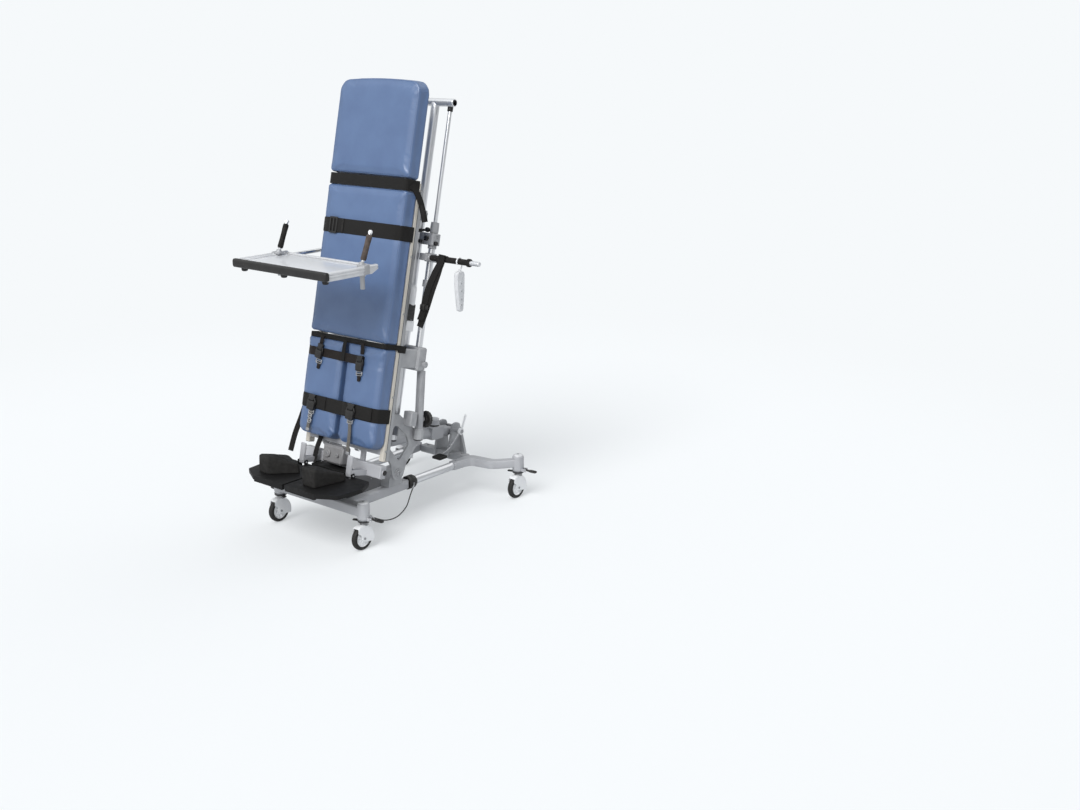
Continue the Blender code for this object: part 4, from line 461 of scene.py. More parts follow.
def makeSurface(name, kind, codes, edge=None, **changes):
    k = {"detail": 2.0, "shader": {"ior": 1.5}, **surfaces[kind], **changes}
    material, tree, shader, where = startFinish(name, codes[0], k["rough"][0], **k["shader"])
    mix = mottled(tree, shader, where, codes, k["blotch"], k["rough"])
    if edge:
        wornEdge(tree, shader, mix, k["worn"][0], edge, k["worn"][1])
    if k.get("cells"):
        grain = addNode(tree, "TexVoronoi", {"feature": "F1"}, {"Vector": where}, Scale=1 / k["grain"])
    else:
        grain = addNode(tree, "TexNoise", links={"Vector": where}, Scale=1 / k["grain"],
                        Detail=k["detail"])
    addNode(tree, "Bump", links={"Height": grain.outputs[0]}, to=shader.inputs["Normal"],
            Distance=k["depth"], Strength=k["bump"])
    return material


# Satin anodised aluminium tube, drawn along its length: fine lines along s, a broad soft highlight
def makeAnodised(name, code, lines, rough=(0.26, 0.36)):
    material, tree, shader, where = startFinish(name, code, 0.3, 0.85)
    stretched = addNode(tree, "Mapping", {"vector_type": "POINT"}, {"Vector": where}, Scale=lines)
    drawn = addNode(tree, "TexNoise", links={"Vector": stretched.outputs["Vector"]}, Scale=1.0,
                    Detail=2.0).outputs["Fac"]
    addNode(tree, "MapRange", links={"Value": drawn}, to=shader.inputs["Roughness"], To_Min=rough[0],
            To_Max=rough[1])
    addNode(tree, "Bump", links={"Height": drawn}, to=shader.inputs["Normal"], Distance=0.00004,
            Strength=0.5)
    return material


# Bright chrome plate on steel: mirror-like, with faint haze where hands rub it
def makeChrome():
    material, tree, shader, where = startFinish("chromePlate", "#DADBDD", 0.14, 1.0)
    haze = addNode(tree, "TexNoise", links={"Vector": where}, Scale=1 / 0.03, Detail=5.0)
    addNode(tree, "MapRange", links={"Value": haze.outputs["Fac"]}, to=shader.inputs["Roughness"],
            From_Min=0.35, From_Max=0.75, To_Min=0.1, To_Max=0.24)
    return material


vinylSkin = makeVinyl()
blackWeb = makeWebbing()
greyWeb = makeWebbing("greyWebbing", ("#55524F", "#8C8984"))
brownWeb = makeWebbing("brownWebbing", ("#1E1917", "#2C2521"))
padThread = makeSurface("padThread", "moulded", ("#4E6C9C", "#46638F"), rough=(0.5, 0.6), grain=0.001,
                        depth=0.00005)
makeSurface("powderCoatedSteel", "powder", ("#B4B5B8", "#A8A9AD"), "#CFD0D2")
darkPaint = makeSurface("darkPaintedPlate", "powder", ("#55565A", "#4B4C50"), "#6A6B6F")
makeSurface("creamPowderCoat", "powder", ("#D2CCC1", "#C6C0B5"), "#E2DED6")
castPaint = makeSurface("paintedCasting", "cast", ("#ABACAE", "#9C9DA0"), "#D0D0D1")
darkCast = makeSurface("darkerCasting", "cast", ("#8B8A8B", "#7D7C7D"), "#D0D0D1")
silverMast = makeAnodised("anodisedMast", "#E2E3E5", (900, 300, 12))
silverBar = makeAnodised("anodisedCrossTube", "#DDDEE0", (12, 900, 900))
silverRail = makeAnodised("anodisedRail", "#E0E1E3", (900, 12, 900))
chrome = makeChrome()
zinc = makeAnodised("zincPlatedSteel", "#A9AAAC", (300, 300, 300), (0.3, 0.5))
blackPlastic = makeSurface("blackGlassNylon", "moulded", ("#1F1D1C", "#181716"), "#3A3836",
                           rough=(0.42, 0.55))
blackGloss = makeSurface("blackAbs", "moulded", ("#161515", "#1B1A1A"), rough=(0.24, 0.34), grain=0.003,
                         depth=0.00003)
whitePlastic = makeSurface("whiteNylon", "moulded", ("#F3F4F5", "#ECEDEF"), "#F8F8F8",
                           rough=(0.3, 0.42))
greyPlastic = makeSurface("lightGreyAbs", "moulded", ("#D6D7D9", "#CCCDCF"), "#E4E5E6",
                          rough=(0.34, 0.46))
paleTray = makeSurface("paleTrayLaminate", "moulded", ("#E9EAEC", "#E3E5E8"), rough=(0.16, 0.22),
                       grain=0.06, depth=0.00002)
tyreRubber = makeSurface("thermoplasticRubber", "moulded", ("#1C1B1A", "#242221"), rough=(0.66, 0.8),
                         grain=0.0012, depth=0.0002)
footLaminate = makeSurface("footPlateLaminate", "moulded", ("#100F0F", "#0B0B0B"), "#2B2A29",
                           rough=(0.5, 0.64), grain=0.004, depth=0.00008,
                           shader={"ior": 1.5, "Specular_IOR_Level": 0.28})
blackFoam = makeSurface("closedCellFoam", "foam", ("#262423", "#1C1B1A"))
brownFoam = makeSurface("greyBrownFoam", "foam", ("#5E544E", "#4B433F"))
footFoam = makeSurface("mouldedFootFoam", "foam", ("#2C2B2A", "#232221"), grain=0.0035, depth=0.0002)
print("finishes ready")


# Upholstered pads: vinyl over foam on a board. Each starts as its outline raised with a wide soft rim
# and a crown that falls as the fourth power of the way to the edge, and is then blown up as cloth
pads = {"wide": 0.58, "thick": 0.08, "rim": 0.012, "small": 0.004, "crown": 0.004, "voxel": 0.0065,
        "pressure": 4.0, "frames": 20, "cap": 0.006, "fill": 0.8, "head": (1.381, 1.88),
        "torso": (0.556, 1.337), "leg": (0.02, 0.547), "split": 0.006,
        "belts": ((1.1175, 0.04, 0.003), (0.46, 0.025, 0.003), (0.2, 0.038, 0.004))}


# A pad's corners and their roundings: the head pad's top is an arch, 14 mm lower at its ends, the
# torso pad is a rectangle, and each leg pad takes one half of the width with its corner cut off
def padOutline(kind, sign=1):
    half, (low, high) = pads["wide"] / 2, pads[kind]
    if kind == "head":
        across = half * np.array((0.48, 0.24, 0.0, -0.24, -0.48))
        arch = [(x, high - 0.014 * (x / half) ** 2, 0.09) for x in across]
        return [(-half, low, 0.024), (half, low, 0.024), (half, high - 0.014, 0.072), *arch,
                (-half, high - 0.014, 0.072)]
    if kind == "torso":
        return [(-half, low, 0.024), (half, low, 0.024), (half, high, 0.024), (-half, high, 0.024)]
    inner = pads["split"]
    leg = [(inner, low + 0.034, 0.014), (inner + 0.034, low, 0.024), (half, low, 0.052),
           (half, high, 0.024), (inner, high, 0.014)]
    return [(x * sign, s, r) for x, s, r in leg]


# Rings of the outline drawn in by the inset at each height, from the board up over the crowned front
def padShape(corner):
    outline, inward = inwardOf(outlineOf(corner, 9))
    middle = (outline.max(0) + outline.min(0)) / 2
    turn = np.linspace(0, math.pi / 2, 7)
    rim, small, top = pads["rim"], pads["small"], -pads["small"]
    inset = np.concatenate([[0.009, 0.002], small + rim * (1 - np.cos(turn))])
    height = np.concatenate([[-pads["thick"], -pads["thick"] + 0.006],
                             top - pads["crown"] - rim * (1 - np.sin(turn))])
    rings = outline[None] + inward[None] * inset[:, None, None]
    shrink = np.linspace(0.94, 0.04, 12)[:, None, None]
    inner = middle + (rings[-1] - middle) * shrink
    rings = np.concatenate([rings, inner])
    height = np.concatenate([height, top - pads["crown"] * shrink[:, 0, 0] ** 4])
    grid = put(liePlace(), rings[..., 0], rings[..., 1], height[:, None])
    return closedShape(grid)


# A shape remeshed into even small cells, for cloth and for soft rounding
def evenMesh(name, shape, size):
    source = bpy.data.meshes.new(name)
    source.from_pydata(shape[0].tolist(), [], shape[1])
    bm = bmesh.new()
    bm.from_mesh(source)
    bmesh.ops.recalc_face_normals(bm, faces=bm.faces)
    bm.to_mesh(source)
    bm.free()
    form = bpy.data.objects.new(name, source)
    bpy.context.scene.collection.objects.link(form)
    remesh = form.modifiers.new("even", "REMESH")
    remesh.mode, remesh.voxel_size, remesh.use_smooth_shade = "VOXEL", size, True
    evaluated = form.evaluated_get(bpy.context.evaluated_depsgraph_get())
    form.data = bpy.data.meshes.new_from_object(evaluated)
    form.modifiers.clear()
    return form


# A mesh's points as an array
def pointsOf(mesh):
    co = np.zeros(len(mesh.vertices) * 3, np.float32)
    mesh.vertices.foreach_get("co", co)
    return co.reshape(-1, 3).astype(float)


def measured(points):  # world points as x, s and n of the lying surface
    away = points - lieFoot
    return np.stack([away @ lieAcross, away @ lieAlong, away @ lieOut], -1)


# A soft form gets its cover, rides on its body and stands for its node
def settle(form, name, finish, body, node):
    form.name = name
    form.data.materials.clear()
    form.data.materials.append(finish)
    form.data.shade_smooth()
    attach(form, body)
    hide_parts(node)


# The blown cover: cloth with air in it, held at the board, and no point moves further than the cap
def inflate(forms):
    scene = bpy.context.scene
    starts = {}
    for form in forms:
        starts[form.name] = pointsOf(form.data)
        n = measured(starts[form.name])[:, 2]
        held = form.vertex_groups.new(name="held")
        held.add(np.flatnonzero(n < -pads["thick"] + 0.012).tolist(), 1.0, "REPLACE")
        cloth = form.modifiers.new("cover", "CLOTH")
        given = cloth.settings
        given.use_pressure, given.uniform_pressure_force = True, pads["pressure"]
        given.vertex_group_mass, given.effector_weights.gravity, given.quality = "held", 0.0, 4
        cloth.collision_settings.use_collision = False
        cloth.point_cache.frame_start, cloth.point_cache.frame_end = 1, pads["frames"]
    for frameNumber in range(1, pads["frames"] + 1):
        scene.frame_set(frameNumber)
    for form in forms:
        evaluated = form.evaluated_get(bpy.context.evaluated_depsgraph_get())
        moved = pointsOf(evaluated.to_mesh()) - starts[form.name]
        evaluated.to_mesh_clear()
        far = np.linalg.norm(moved, axis=1, keepdims=True)
        moved *= pads["cap"] * np.tanh(far / pads["cap"]) / np.maximum(far, 1e-9)
        form.modifiers.clear()
        form.data.vertices.foreach_set("co", (starts[form.name] + moved).astype(np.float32).ravel())
    scene.frame_set(1)


# Straps press a smooth trough into the front and the sides they cross, and the board stays flat
def pressStraps(form):
    points = pointsOf(form.data)
    x, s, n = measured(points).T
    soft = np.clip((n + pads["thick"]) / 0.03, 0, 1)
    for middle, half, depth in pads["belts"]:
        press = depth * np.exp(-((s - middle) / (half * 1.15)) ** 4) * soft
        front = np.clip((n + 0.034) / 0.03, 0, 1)
        n = n - press * front
        x = x - np.sign(x) * press * (1 - front) * 0.7 * (np.abs(x) > 0.2)
    points = lie(x, s, n)
    form.data.vertices.foreach_set("co", points.astype(np.float32).ravel())
    form.data.update()


padPieces = (("head_pad", "head", 1), ("torso_pad", "torso", 1), ("leg_pad_left", "leg", -1),
             ("leg_pad_right", "leg", 1))


# All covers are blown together, pressed by the straps and smoothed once; their points are kept
def makePads():
    forms = [evenMesh("cover_" + node, padShape(padOutline(kind, sign)), pads["voxel"]) for node, kind,
             sign in padPieces]
    inflate(forms)
    clouds = []
    for form, (node, _, _) in zip(forms, padPieces):
        pressStraps(form)
        settle(form, "upholstered_" + node, vinylSkin, "tilt_frame", node)
        subdivision = form.modifiers.new("smooth", "SUBSURF")
        subdivision.levels = subdivision.render_levels = 1
        evaluated = form.evaluated_get(bpy.context.evaluated_depsgraph_get())
        clouds.append(measured(pointsOf(evaluated.to_mesh())))
        evaluated.to_mesh_clear()
    return np.concatenate(clouds)


padCloud = makePads()
print("pads made")


# How high the pads stand at each x of a line across at s: the top of the points near it
def padTop(x, s, reach=0.012):
    near = padCloud[(np.abs(padCloud[:, 1] - s) < reach) & (padCloud[:, 2] > -0.045)]
    order = np.argsort(near[:, 0])
    near = near[order]
    left, right = np.searchsorted(near[:, 0], x - 0.008), np.searchsorted(near[:, 0], x + 0.008)
    top = np.array([near[a:b, 2].max() if b > a else np.nan for a, b in zip(left, right)])
    gaps = np.isnan(top)
    top[gaps] = np.interp(x[gaps], x[~gaps], top[~gaps])
    return top


# Straps of flat woven webbing: a thin section with round selvedges, carried along a line in x and n
straps = {"thick": 0.003, "edge": 0.2918, "back": -0.0845, "lift": 0.0019, "chest": (1.1175, 0.075),
          "head": (1.3565, 0.056), "gap": ((0.544, 0.552), 0.026), "knee": (0.46, 0.045),
          "ankle": (0.2, 0.072)}


# The section of a band: a flattened oval whose sides are powers of the cosine and the sine
def bandSection(width, thick, count=28):
    angle = around(count)
    c, s = np.cos(angle), np.sin(angle)
    return np.stack([width / 2 * np.sign(c) * np.abs(c) ** 0.22,
                     thick / 2 * np.sign(s) * np.abs(s) ** 0.5], -1)


# A strap: the flat section carried along its path, its width along the side's direction
def band(path, width, side=lieAlong, thick=straps["thick"]):
    return carried(path, bandSection(width, thick), side)


# A taut belt over the pads at s: for each direction from one side over the front to the other, the
# pads' furthest point near s, moved out by the lift; below, straight to the edge profiles. Where the
# belt leans, its left and right ends are given
def beltPath(s, lift=None, reach=0.012, ends=(None, None)):
    lift = straps["lift"] if lift is None else lift
    left, right = (s, s) if np.isscalar(s) else s
    near = padCloud[(np.abs(padCloud[:, 1] - (left + right) / 2) < reach) & (padCloud[:, 2] > -0.07)]
    turn = np.linspace(math.pi, 0, 241)
    away = np.stack([np.cos(turn), np.sin(turn)], -1)
    line = near[:, (0, 2)][(near[:, (0, 2)] @ away.T).argmax(0)] + lift * away
    line = line[np.r_[True, np.linalg.norm(np.diff(line, axis=0), axis=1) > 0.0006]]
    edge, back = straps["edge"], straps["back"]
    start = np.array([(-edge, back), (-edge, back + 0.014)])
    line = np.concatenate([start, line, (start * (-1, 1))[::-1]])
    length = np.r_[0, np.cumsum(np.linalg.norm(np.diff(line, axis=0), axis=1))]
    even = np.linspace(0, length[-1], 180)
    x, n = (np.interp(even, length, line[:, k]) for k in (0, 1))
    for _ in range(3):
        x[1:-1], n[1:-1] = ((v[:-2] + 2 * v[1:-1] + v[2:]) / 4 for v in (x, n))
    kept = np.ones(180, bool)
    if ends[0] is not None:
        kept &= x >= ends[0]
    if ends[1] is not None:
        kept &= x <= ends[1]
    along = left + (right - left) * (x + edge) / (2 * edge)
    return lie(x, along, n)[kept]


# A side-release buckle: the socket with its two openings, the spring prongs in them and the bars
# that the webbing turns round; its long side lies along the first direction of the place
def buckleShapes(place, long=0.058, wide=0.048, tall=0.013):
    half, w = long / 2, wide / 2
    socket = outlineOf([(-half, -w * 0.92, 0.005), (half * 0.15, -w, 0.006), (half * 0.15, w, 0.006),
                        (-half, w * 0.92, 0.005)], 6)
    throat = outlineOf([(half * 0.2, -w * 0.52, 0.003), (half, -w * 0.9, 0.005), (half, w * 0.9, 0.005),
                        (half * 0.2, w * 0.52, 0.003)], 6)
    shapes = [slab(socket, 0.0, tall, place, 0.0028, 6), slab(throat, 0.001, tall * 0.7, place, 0.0022)]
    shapes.append(slab(socket * (0.72, 0.62) + (-half * 0.06, 0), tall * 0.7, tall + 0.0011, place,
                       0.0012))
    for sign in (-1, 1):
        prong = outlineOf([(-half * 0.35, sign * w * 1.02, 0.003), (half * 0.1, sign * w * 1.13, 0.004),
                           (half * 0.62, sign * w * 0.88, 0.003), (half * 0.55, sign * w * 0.66, 0.002),
                           (-half * 0.25, sign * w * 0.8, 0.003)], 6)
        shapes.append(slab(prong, 0.002, tall * 0.62, place, 0.0015))
        x = sign * half * 0.99
        shapes.append(slab(plate(x - 0.002, -w * 0.86, x + 0.002, w * 0.86, 0.001, 3), 0.0015,
                           tall * 0.55, place, 0.001))
    return shapes


# A metal ladder buckle: a rounded rectangular ring with its middle bar
def ringShapes(place, long=0.03, wide=0.046, wire=0.0022):
    turn = plate(-long / 2, -wide / 2, long / 2, wide / 2, 0.006, 6)
    closed = np.concatenate([turn, turn[:2]])
    ring = tube(put(place, closed[:, 0], closed[:, 1], 0.0), wire, 0.0001, 12, place[3])
    bar = tube(put(place, np.array((0.0, 0.0)), np.array((-wide / 2, wide / 2)), np.zeros(2)), wire,
               0.0001, 12)
    return [ring, bar]


# A webbing slide: a flat frame of two long and three cross bars, with the webbing through its slots
def slideShapes(place, long, wide, tall=0.0042):
    bars = [(-long / 2, long / 2, k * (wide / 2 - 0.0045) - 0.0045, k * (wide / 2 - 0.0045) + 0.0045)
            for k in (-1, 1)]
    bars += [(k * (long / 2 - 0.0045) - 0.0045, k * (long / 2 - 0.0045) + 0.0045, -wide / 2 + 0.002,
              wide / 2 - 0.002) for k in (-1, 0, 1)]
    return [box((x0, y0, 0.0), (x1, y1, tall), place, 0.0014, 0.003) for x0, x1, y0, y1 in bars]


# A place on the pads at x and s, lifted and turned in the surface
def padPlace(x, s, lift=0.004, turn=0.0):
    n = float(padTop(np.array([x, x + 1e-6]), s)[0])
    c, d = math.cos(turn), math.sin(turn)
    return lie(x, s, n + lift), c * lieAcross + d * lieAlong, c * lieAlong - d * lieAcross, lieOut


# A row of stitches across a band: short round threads, three to the centimetre
def stitchRow(place, wide, count=9, length=0.0026):
    return [tube(put(place, np.array((x - length / 2, x, x + length / 2)), 0, (0, 0.0006, 0)), 0.0005,
                 0.0001, 6) for x in np.linspace(-wide / 2, wide / 2, count)]


def lieRow(x, s, lift):  # points on the pads along x
    return lie(x, s, padTop(x, s) + lift)


# The chest belt: doubled on the left down to its slide, sewn to itself by two rows of stitches
def makeChestBelt():
    s, width = straps["chest"]
    fold = beltPath(s, 0.005, ends=(-0.5, -0.115))
    seam = padPlace(-0.1215, s, 0.006)
    addPiece("chestBelt", [(band(beltPath(s), width), blackWeb),
                           (band(fold[12:], width * 0.98), blackWeb),
                           (slideShapes(padPlace(-0.19, s, 0.0064), 0.056, 0.084), blackPlastic),
                           (stitchRow((seam[0], lieAlong, lieAcross, lieOut), 0.064, 15), greyWeb),
                           (stitchRow((seam[0] - 0.006 * lieAcross, lieAlong, lieAcross, lieOut), 0.064,
                                      15), greyWeb)], "tilt_frame", ("chest_belt",))


# The head strap, its tail over the right edge and the foam grip on the tail's end
def makeHeadStrap():
    s, width = straps["head"]
    edge = straps["edge"]
    tail = lineThrough([(edge - 0.0006, s, -0.03), (edge + 0.008, s - 0.018, -0.048),
                        (edge + 0.022, s - 0.062, -0.074), (edge + 0.034, s - 0.115, -0.094),
                        (edge + 0.043, s - 0.168, -0.11)], 8)
    grip = lie(*tail[-13:].T)
    addPiece("headStrap", [(band(beltPath(s, 0.0012, 0.036), width), blackWeb),
                           (band(lie(*tail.T), 0.03, (0.25, 0.23, 1.0)), blackWeb),
                           (tube(grip, np.interp(np.arange(13), (0, 5, 12), (0.007, 0.0125, 0.0115)),
                                 0.006, 24), blackFoam)], "tilt_frame", ("head_strap",))


# The strap in the gap between torso and legs, and the knee band under it with two buckles
def makeKneeStraps():
    levels, width = straps["gap"]
    s, kneeWidth = straps["knee"]
    shaped = [(band(beltPath(levels, 0.0016, 0.016), width), blackWeb),
              (band(beltPath(s, ends=(None, 0.15)), kneeWidth), brownWeb)]
    link = lineThrough([(0.002, levels[0] + 0.002, 0.003), (0.001, 0.515, 0.0052), (0.0, 0.492, 0.0052),
                        (0.0, s - 0.02, 0.0062)], 5)
    shaped.append((band(lie(*link.T), 0.026, lieAcross), blackWeb))
    tail = lineThrough(mm((286, 546, -81.5), (292.5, 546, -86), (295, 545, -100), (295, 543, -134)), 6)
    shaped.append((band(lie(*tail.T), 0.036, thick=0.004), blackWeb))
    for x, drop, turn in ((-0.172, 0.004, 1.45), (0.13, -0.014, 1.66)):
        shaped.append((buckleShapes(padPlace(x, s + drop, 0.0042, turn), 0.074, 0.046, 0.017),
                       blackPlastic))
        hang = padPlace(x, s + 0.052, 0.004, turn)
        shaped.append((slab(plate(-0.02, -0.012, 0.036, 0.012, 0.004, 4), 0.0, 0.0036, hang, 0.0012),
                       brownWeb))
        shaped.append((ringShapes(padPlace(x + 0.002, s - 0.052 + drop, 0.006, turn), 0.02, 0.04,
                                  0.0024), zinc))
        tip = padPlace(x + 0.003, s - 0.07 + drop, 0.0046, turn)
        shaped.append((slab(plate(-0.022, -0.011, 0.016, 0.011, (0.006, 0.003, 0.003, 0.006), 5), 0.0,
                            0.0034, tip, 0.0012), brownWeb))
    addPiece("kneeStraps", shaped, "tilt_frame", ("knee_strap",))


# The ankle strap over the legs: cuffs, buckles, their hanging tails with zinc tips and loose ends
def makeAnkleStrap():
    s, width = straps["ankle"]
    shaped = [(band(beltPath(s, 0.003), width, thick=0.0046), blackWeb)]
    for low, high in ((0.03, 0.25), (-0.262, -0.085)):
        cuff = np.linspace(low, high, 26)
        shaped.append((band(lieRow(cuff, s + 0.002, 0.0078), width * 0.9, thick=0.004), blackWeb))
    for x, low, bow in ((-0.178, 0.055, -0.006), (0.112, -0.012, 0.008)):
        shaped.append((buckleShapes(padPlace(x, s - 0.004, 0.0104, 1.57), 0.078, 0.056, 0.017),
                       blackPlastic))
        shaped.append((ringShapes(padPlace(x + 0.002, s - 0.052, 0.011, 1.57), 0.026, 0.036, 0.0026),
                       zinc))
        hang = lineThrough([(x, s - 0.05, 0.013), (x + bow, (s + low) / 2, 0.012),
                            (x + bow * 1.6, low, 0.0125)], 10)
        shaped.append((band(lie(*hang.T), 0.022, lieAcross, 0.0032), greyWeb))
        for k in range(2 if x < 0 else 0):  # a short chain of links on the left tail
            shaped.append((ringShapes(padPlace(x - 0.001, s - 0.076 - 0.026 * k, 0.014, 1.57), 0.02,
                                      0.024, 0.0026), zinc))
        place = (lie(x + bow * 1.6, low, 0.0125), lieAcross, lieAlong, lieOut)
        shaped.append((slab(plate(-0.012, -0.012, 0.012, 0.004, (0.004, 0.004, 0.003, 0.003), 4),
                            -0.0025, 0.0025, place, 0.0009), zinc))
    # two loose ends behind the left pad: one outside it and one that falls towards the footplate
    for line, wide, face in ((((-0.29, 0.205, -0.05), (-0.306, 0.15, -0.058), (-0.32, 0.08, -0.052),
                               (-0.334, 0.000, -0.04), (-0.342, -0.095, -0.03)), 0.032,
                              (0.72, 0.0, -0.69)), (((-0.176, 0.05, -0.078), (-0.168, 0.01, -0.07),
                                                     (-0.16, -0.045, -0.045), (-0.156, -0.12, -0.03)),
                                                    0.034, (1.0, 0.0, 0.0))):
        ends = lineThrough(line, 8)
        shaped.append((band(lie(*ends.T), wide, face, 0.0034), blackWeb))
    addPiece("ankleStrap", shaped, "tilt_frame", ("ankle_strap",))


makeChestBelt()
makeHeadStrap()
makeKneeStraps()
makeAnkleStrap()
print("straps made")


# Masts: drawn tubes, open at the top where the push handle's tubes come out, clamped by split rings.
# A tube is a profile turned about its line: up outside, over the rim and down into the mouth
masts = {"x": 0.17, "n": -0.25, "radius": 0.025, "mouth": 0.0219, "s": (0.06, 1.25),
         "ring": (1.2, 1.254), "ringOut": 0.03}


def openTube(radius, mouth, height, deep):
    return [(0, 0), (radius - 0.0008, 0), (radius, 0.0008), (radius, height - 0.0008),
            (radius - 0.0008, height), (mouth, height), (mouth, height - deep), (0, height - deep)]


def makeMasts():
    n, radius, mouth = (masts[k] for k in ("n", "radius", "mouth"))
    m = masts
    (low, high), (ringLow, ringHigh) = m["s"], m["ring"]
    for side, sign in sides:
        x = sign * m["x"]
        wall = turned(openTube(radius, mouth, high - low, 0.04), lie(x, low, n), lieAlong, 56)
        out, tall = m["ringOut"], ringHigh - ringLow
        ring = turned([(radius - 0.0005, 0.0), (out - 0.0015, 0.0), (out, 0.0015), (out, tall - 0.0015),
                       (out - 0.0015, tall), (mouth + 0.0004, tall), (mouth + 0.0004, tall - 0.006),
                       (radius - 0.0005, tall - 0.006)], lie(x, ringLow, n), lieAlong, 56, True)
        place = liePlace(x, (ringLow + ringHigh) / 2, n)
        lugs = [box((gap, -0.019, -out - 0.011), (gap + 0.0055, 0.019, -out + 0.006), place, 0.0012)
                for gap in (-0.0075, 0.002)]
        screws = [socketScrew(lie(x + 0.0075, (ringLow + ringHigh) / 2 + up, n - out - 0.0045),
                              lieAcross, 0.0042, 0.004) for up in (-0.0105, 0.0105)]
        feet = []
        for s, top in ((1.01, -0.1035), (1.23, n + 0.034)):
            feet.append(box((-0.016, -0.018, 0.018), (0.016, 0.018, top - n), liePlace(x, s, n), 0.0015,
                            0.004))
            if s < 1.1:
                feet += [socketScrew(lie(x + 0.016, s + up, -0.165), lieAcross, 0.005, 0.003)
                         for up in (-0.009, 0.009)]
        addPiece("mast_" + side + "_tube", [(wall, silverMast), (ring, castPaint), (lugs, castPaint),
                                            (screws, zinc), (feet, castPaint)], "tilt_frame",
                 ("mast_" + side,))


# Push handle: the cross tube, its two sliding tubes, the guide rods and their black collars, with a
# weld bead round each joint: a small ring of a circle swept round the foot of the tube
push = {"s": 1.8, "half": 0.3, "radius": 0.02, "tube": 0.0215, "foot": 0.9, "rodX": 0.26,
        "rodN": -0.266, "rod": 0.01, "rodFoot": 1.05}


# A weld bead: a thin ring round an axis whose thickness goes up and down 18 times on the way
def weldBead(center, axis, radius, thick=0.0024, ripple=0.0005, count=72):
    angle = around(count)
    turn = around(10)
    place = axisPlace(center, axis)
    size = thick + ripple * np.cos(angle * 18)
    r = radius + size[:, None] * np.cos(turn)
    grid = put(place, r * np.cos(angle)[:, None], r * np.sin(angle)[:, None],
               size[:, None] * np.sin(turn))
    return grid.reshape(-1, 3), gridFaces(count, 10, True), np.zeros((count * 10, 2))


def makePushHandle():
    top, half, rodX, rodN = (push[k] for k in ("s", "half", "rodX", "rodN"))
    p = push
    n = masts["n"]
    bar = rod(lie(-half, top, n), lie(half, top, n), p["radius"], 0.0045, 44)
    shaped = [(bar, silverBar)]
    for _, sign in sides:
        x = sign * masts["x"]
        inner = rod(lie(x, p["foot"], n), lie(x, top - 0.002, n), p["tube"], 0.0015, 48)
        guide = rod(lie(sign * rodX, p["rodFoot"], rodN), lie(sign * rodX, top - 0.004, rodN), p["rod"],
                    0.0018, 32)
        collar = turned(mm((0, 0), (11.5, 0), (13.8, 2.5), (14.2, 4.5), (14.2, 25), (13, 28.5),
                           (0, 30)), lie(sign * rodX, top - 0.042, rodN), lieAlong, 36)
        pad = rod(lie(sign * (half - 0.0008), top, n), lie(sign * half, top, n), 0.0154, 0.0003, 32)
        bead = weldBead(lie(x, top - p["radius"] * 0.78, n), lieAlong, p["tube"], 0.0018)
        shaped += [(inner, silverMast), (guide, silverMast), (collar, blackPlastic), (pad, greyPlastic),
                   (bead, silverBar)]
    addPiece("pushHandle", shaped, "push_handle", ("push_handle",))


# Side columns for the guide rods; the right one has a stop ring with its knob
columns = {"x": 0.26, "n": -0.266, "radius": 0.0175, "s": (0.5603, 1.0647), "mouth": 0.0103}


def makeColumns():
    c = columns
    low, high = c["s"]
    for side, sign in sides:
        x = sign * c["x"]
        wall = turned(openTube(c["radius"], c["mouth"], high - low, 0.012), lie(x, low, c["n"]),
                      lieAlong, 44)
        shaped = [(wall, silverMast)]
        if side == "right":
            ring = turned([(c["radius"] - 0.0005, 0), (0.023, 0), (0.0245, 0.0015), (0.0245, 0.0335),
                           (0.023, 0.035), (c["radius"] - 0.0005, 0.035)], lie(x, 0.87, c["n"]),
                          lieAlong, 44, True)
            stem = rod(lie(x + 0.02, 0.8875, c["n"]), lie(x + 0.034, 0.8875, c["n"]), 0.0048, 0.0006,
                       24)
            knob = turned(mm((0, 0), (7, 0), (8.8, 2), (9, 10.5), (7.8, 13.5), (4.5, 15.2), (0, 15.6)),
                          lie(x + 0.0304, 0.8875, c["n"]), lieAcross, 36)
            shaped += [(ring, castPaint), (stem, zinc), (knob, blackPlastic)]
        addPiece("sideColumn_" + side, shaped, "tilt_frame", ("side_column_" + side,))


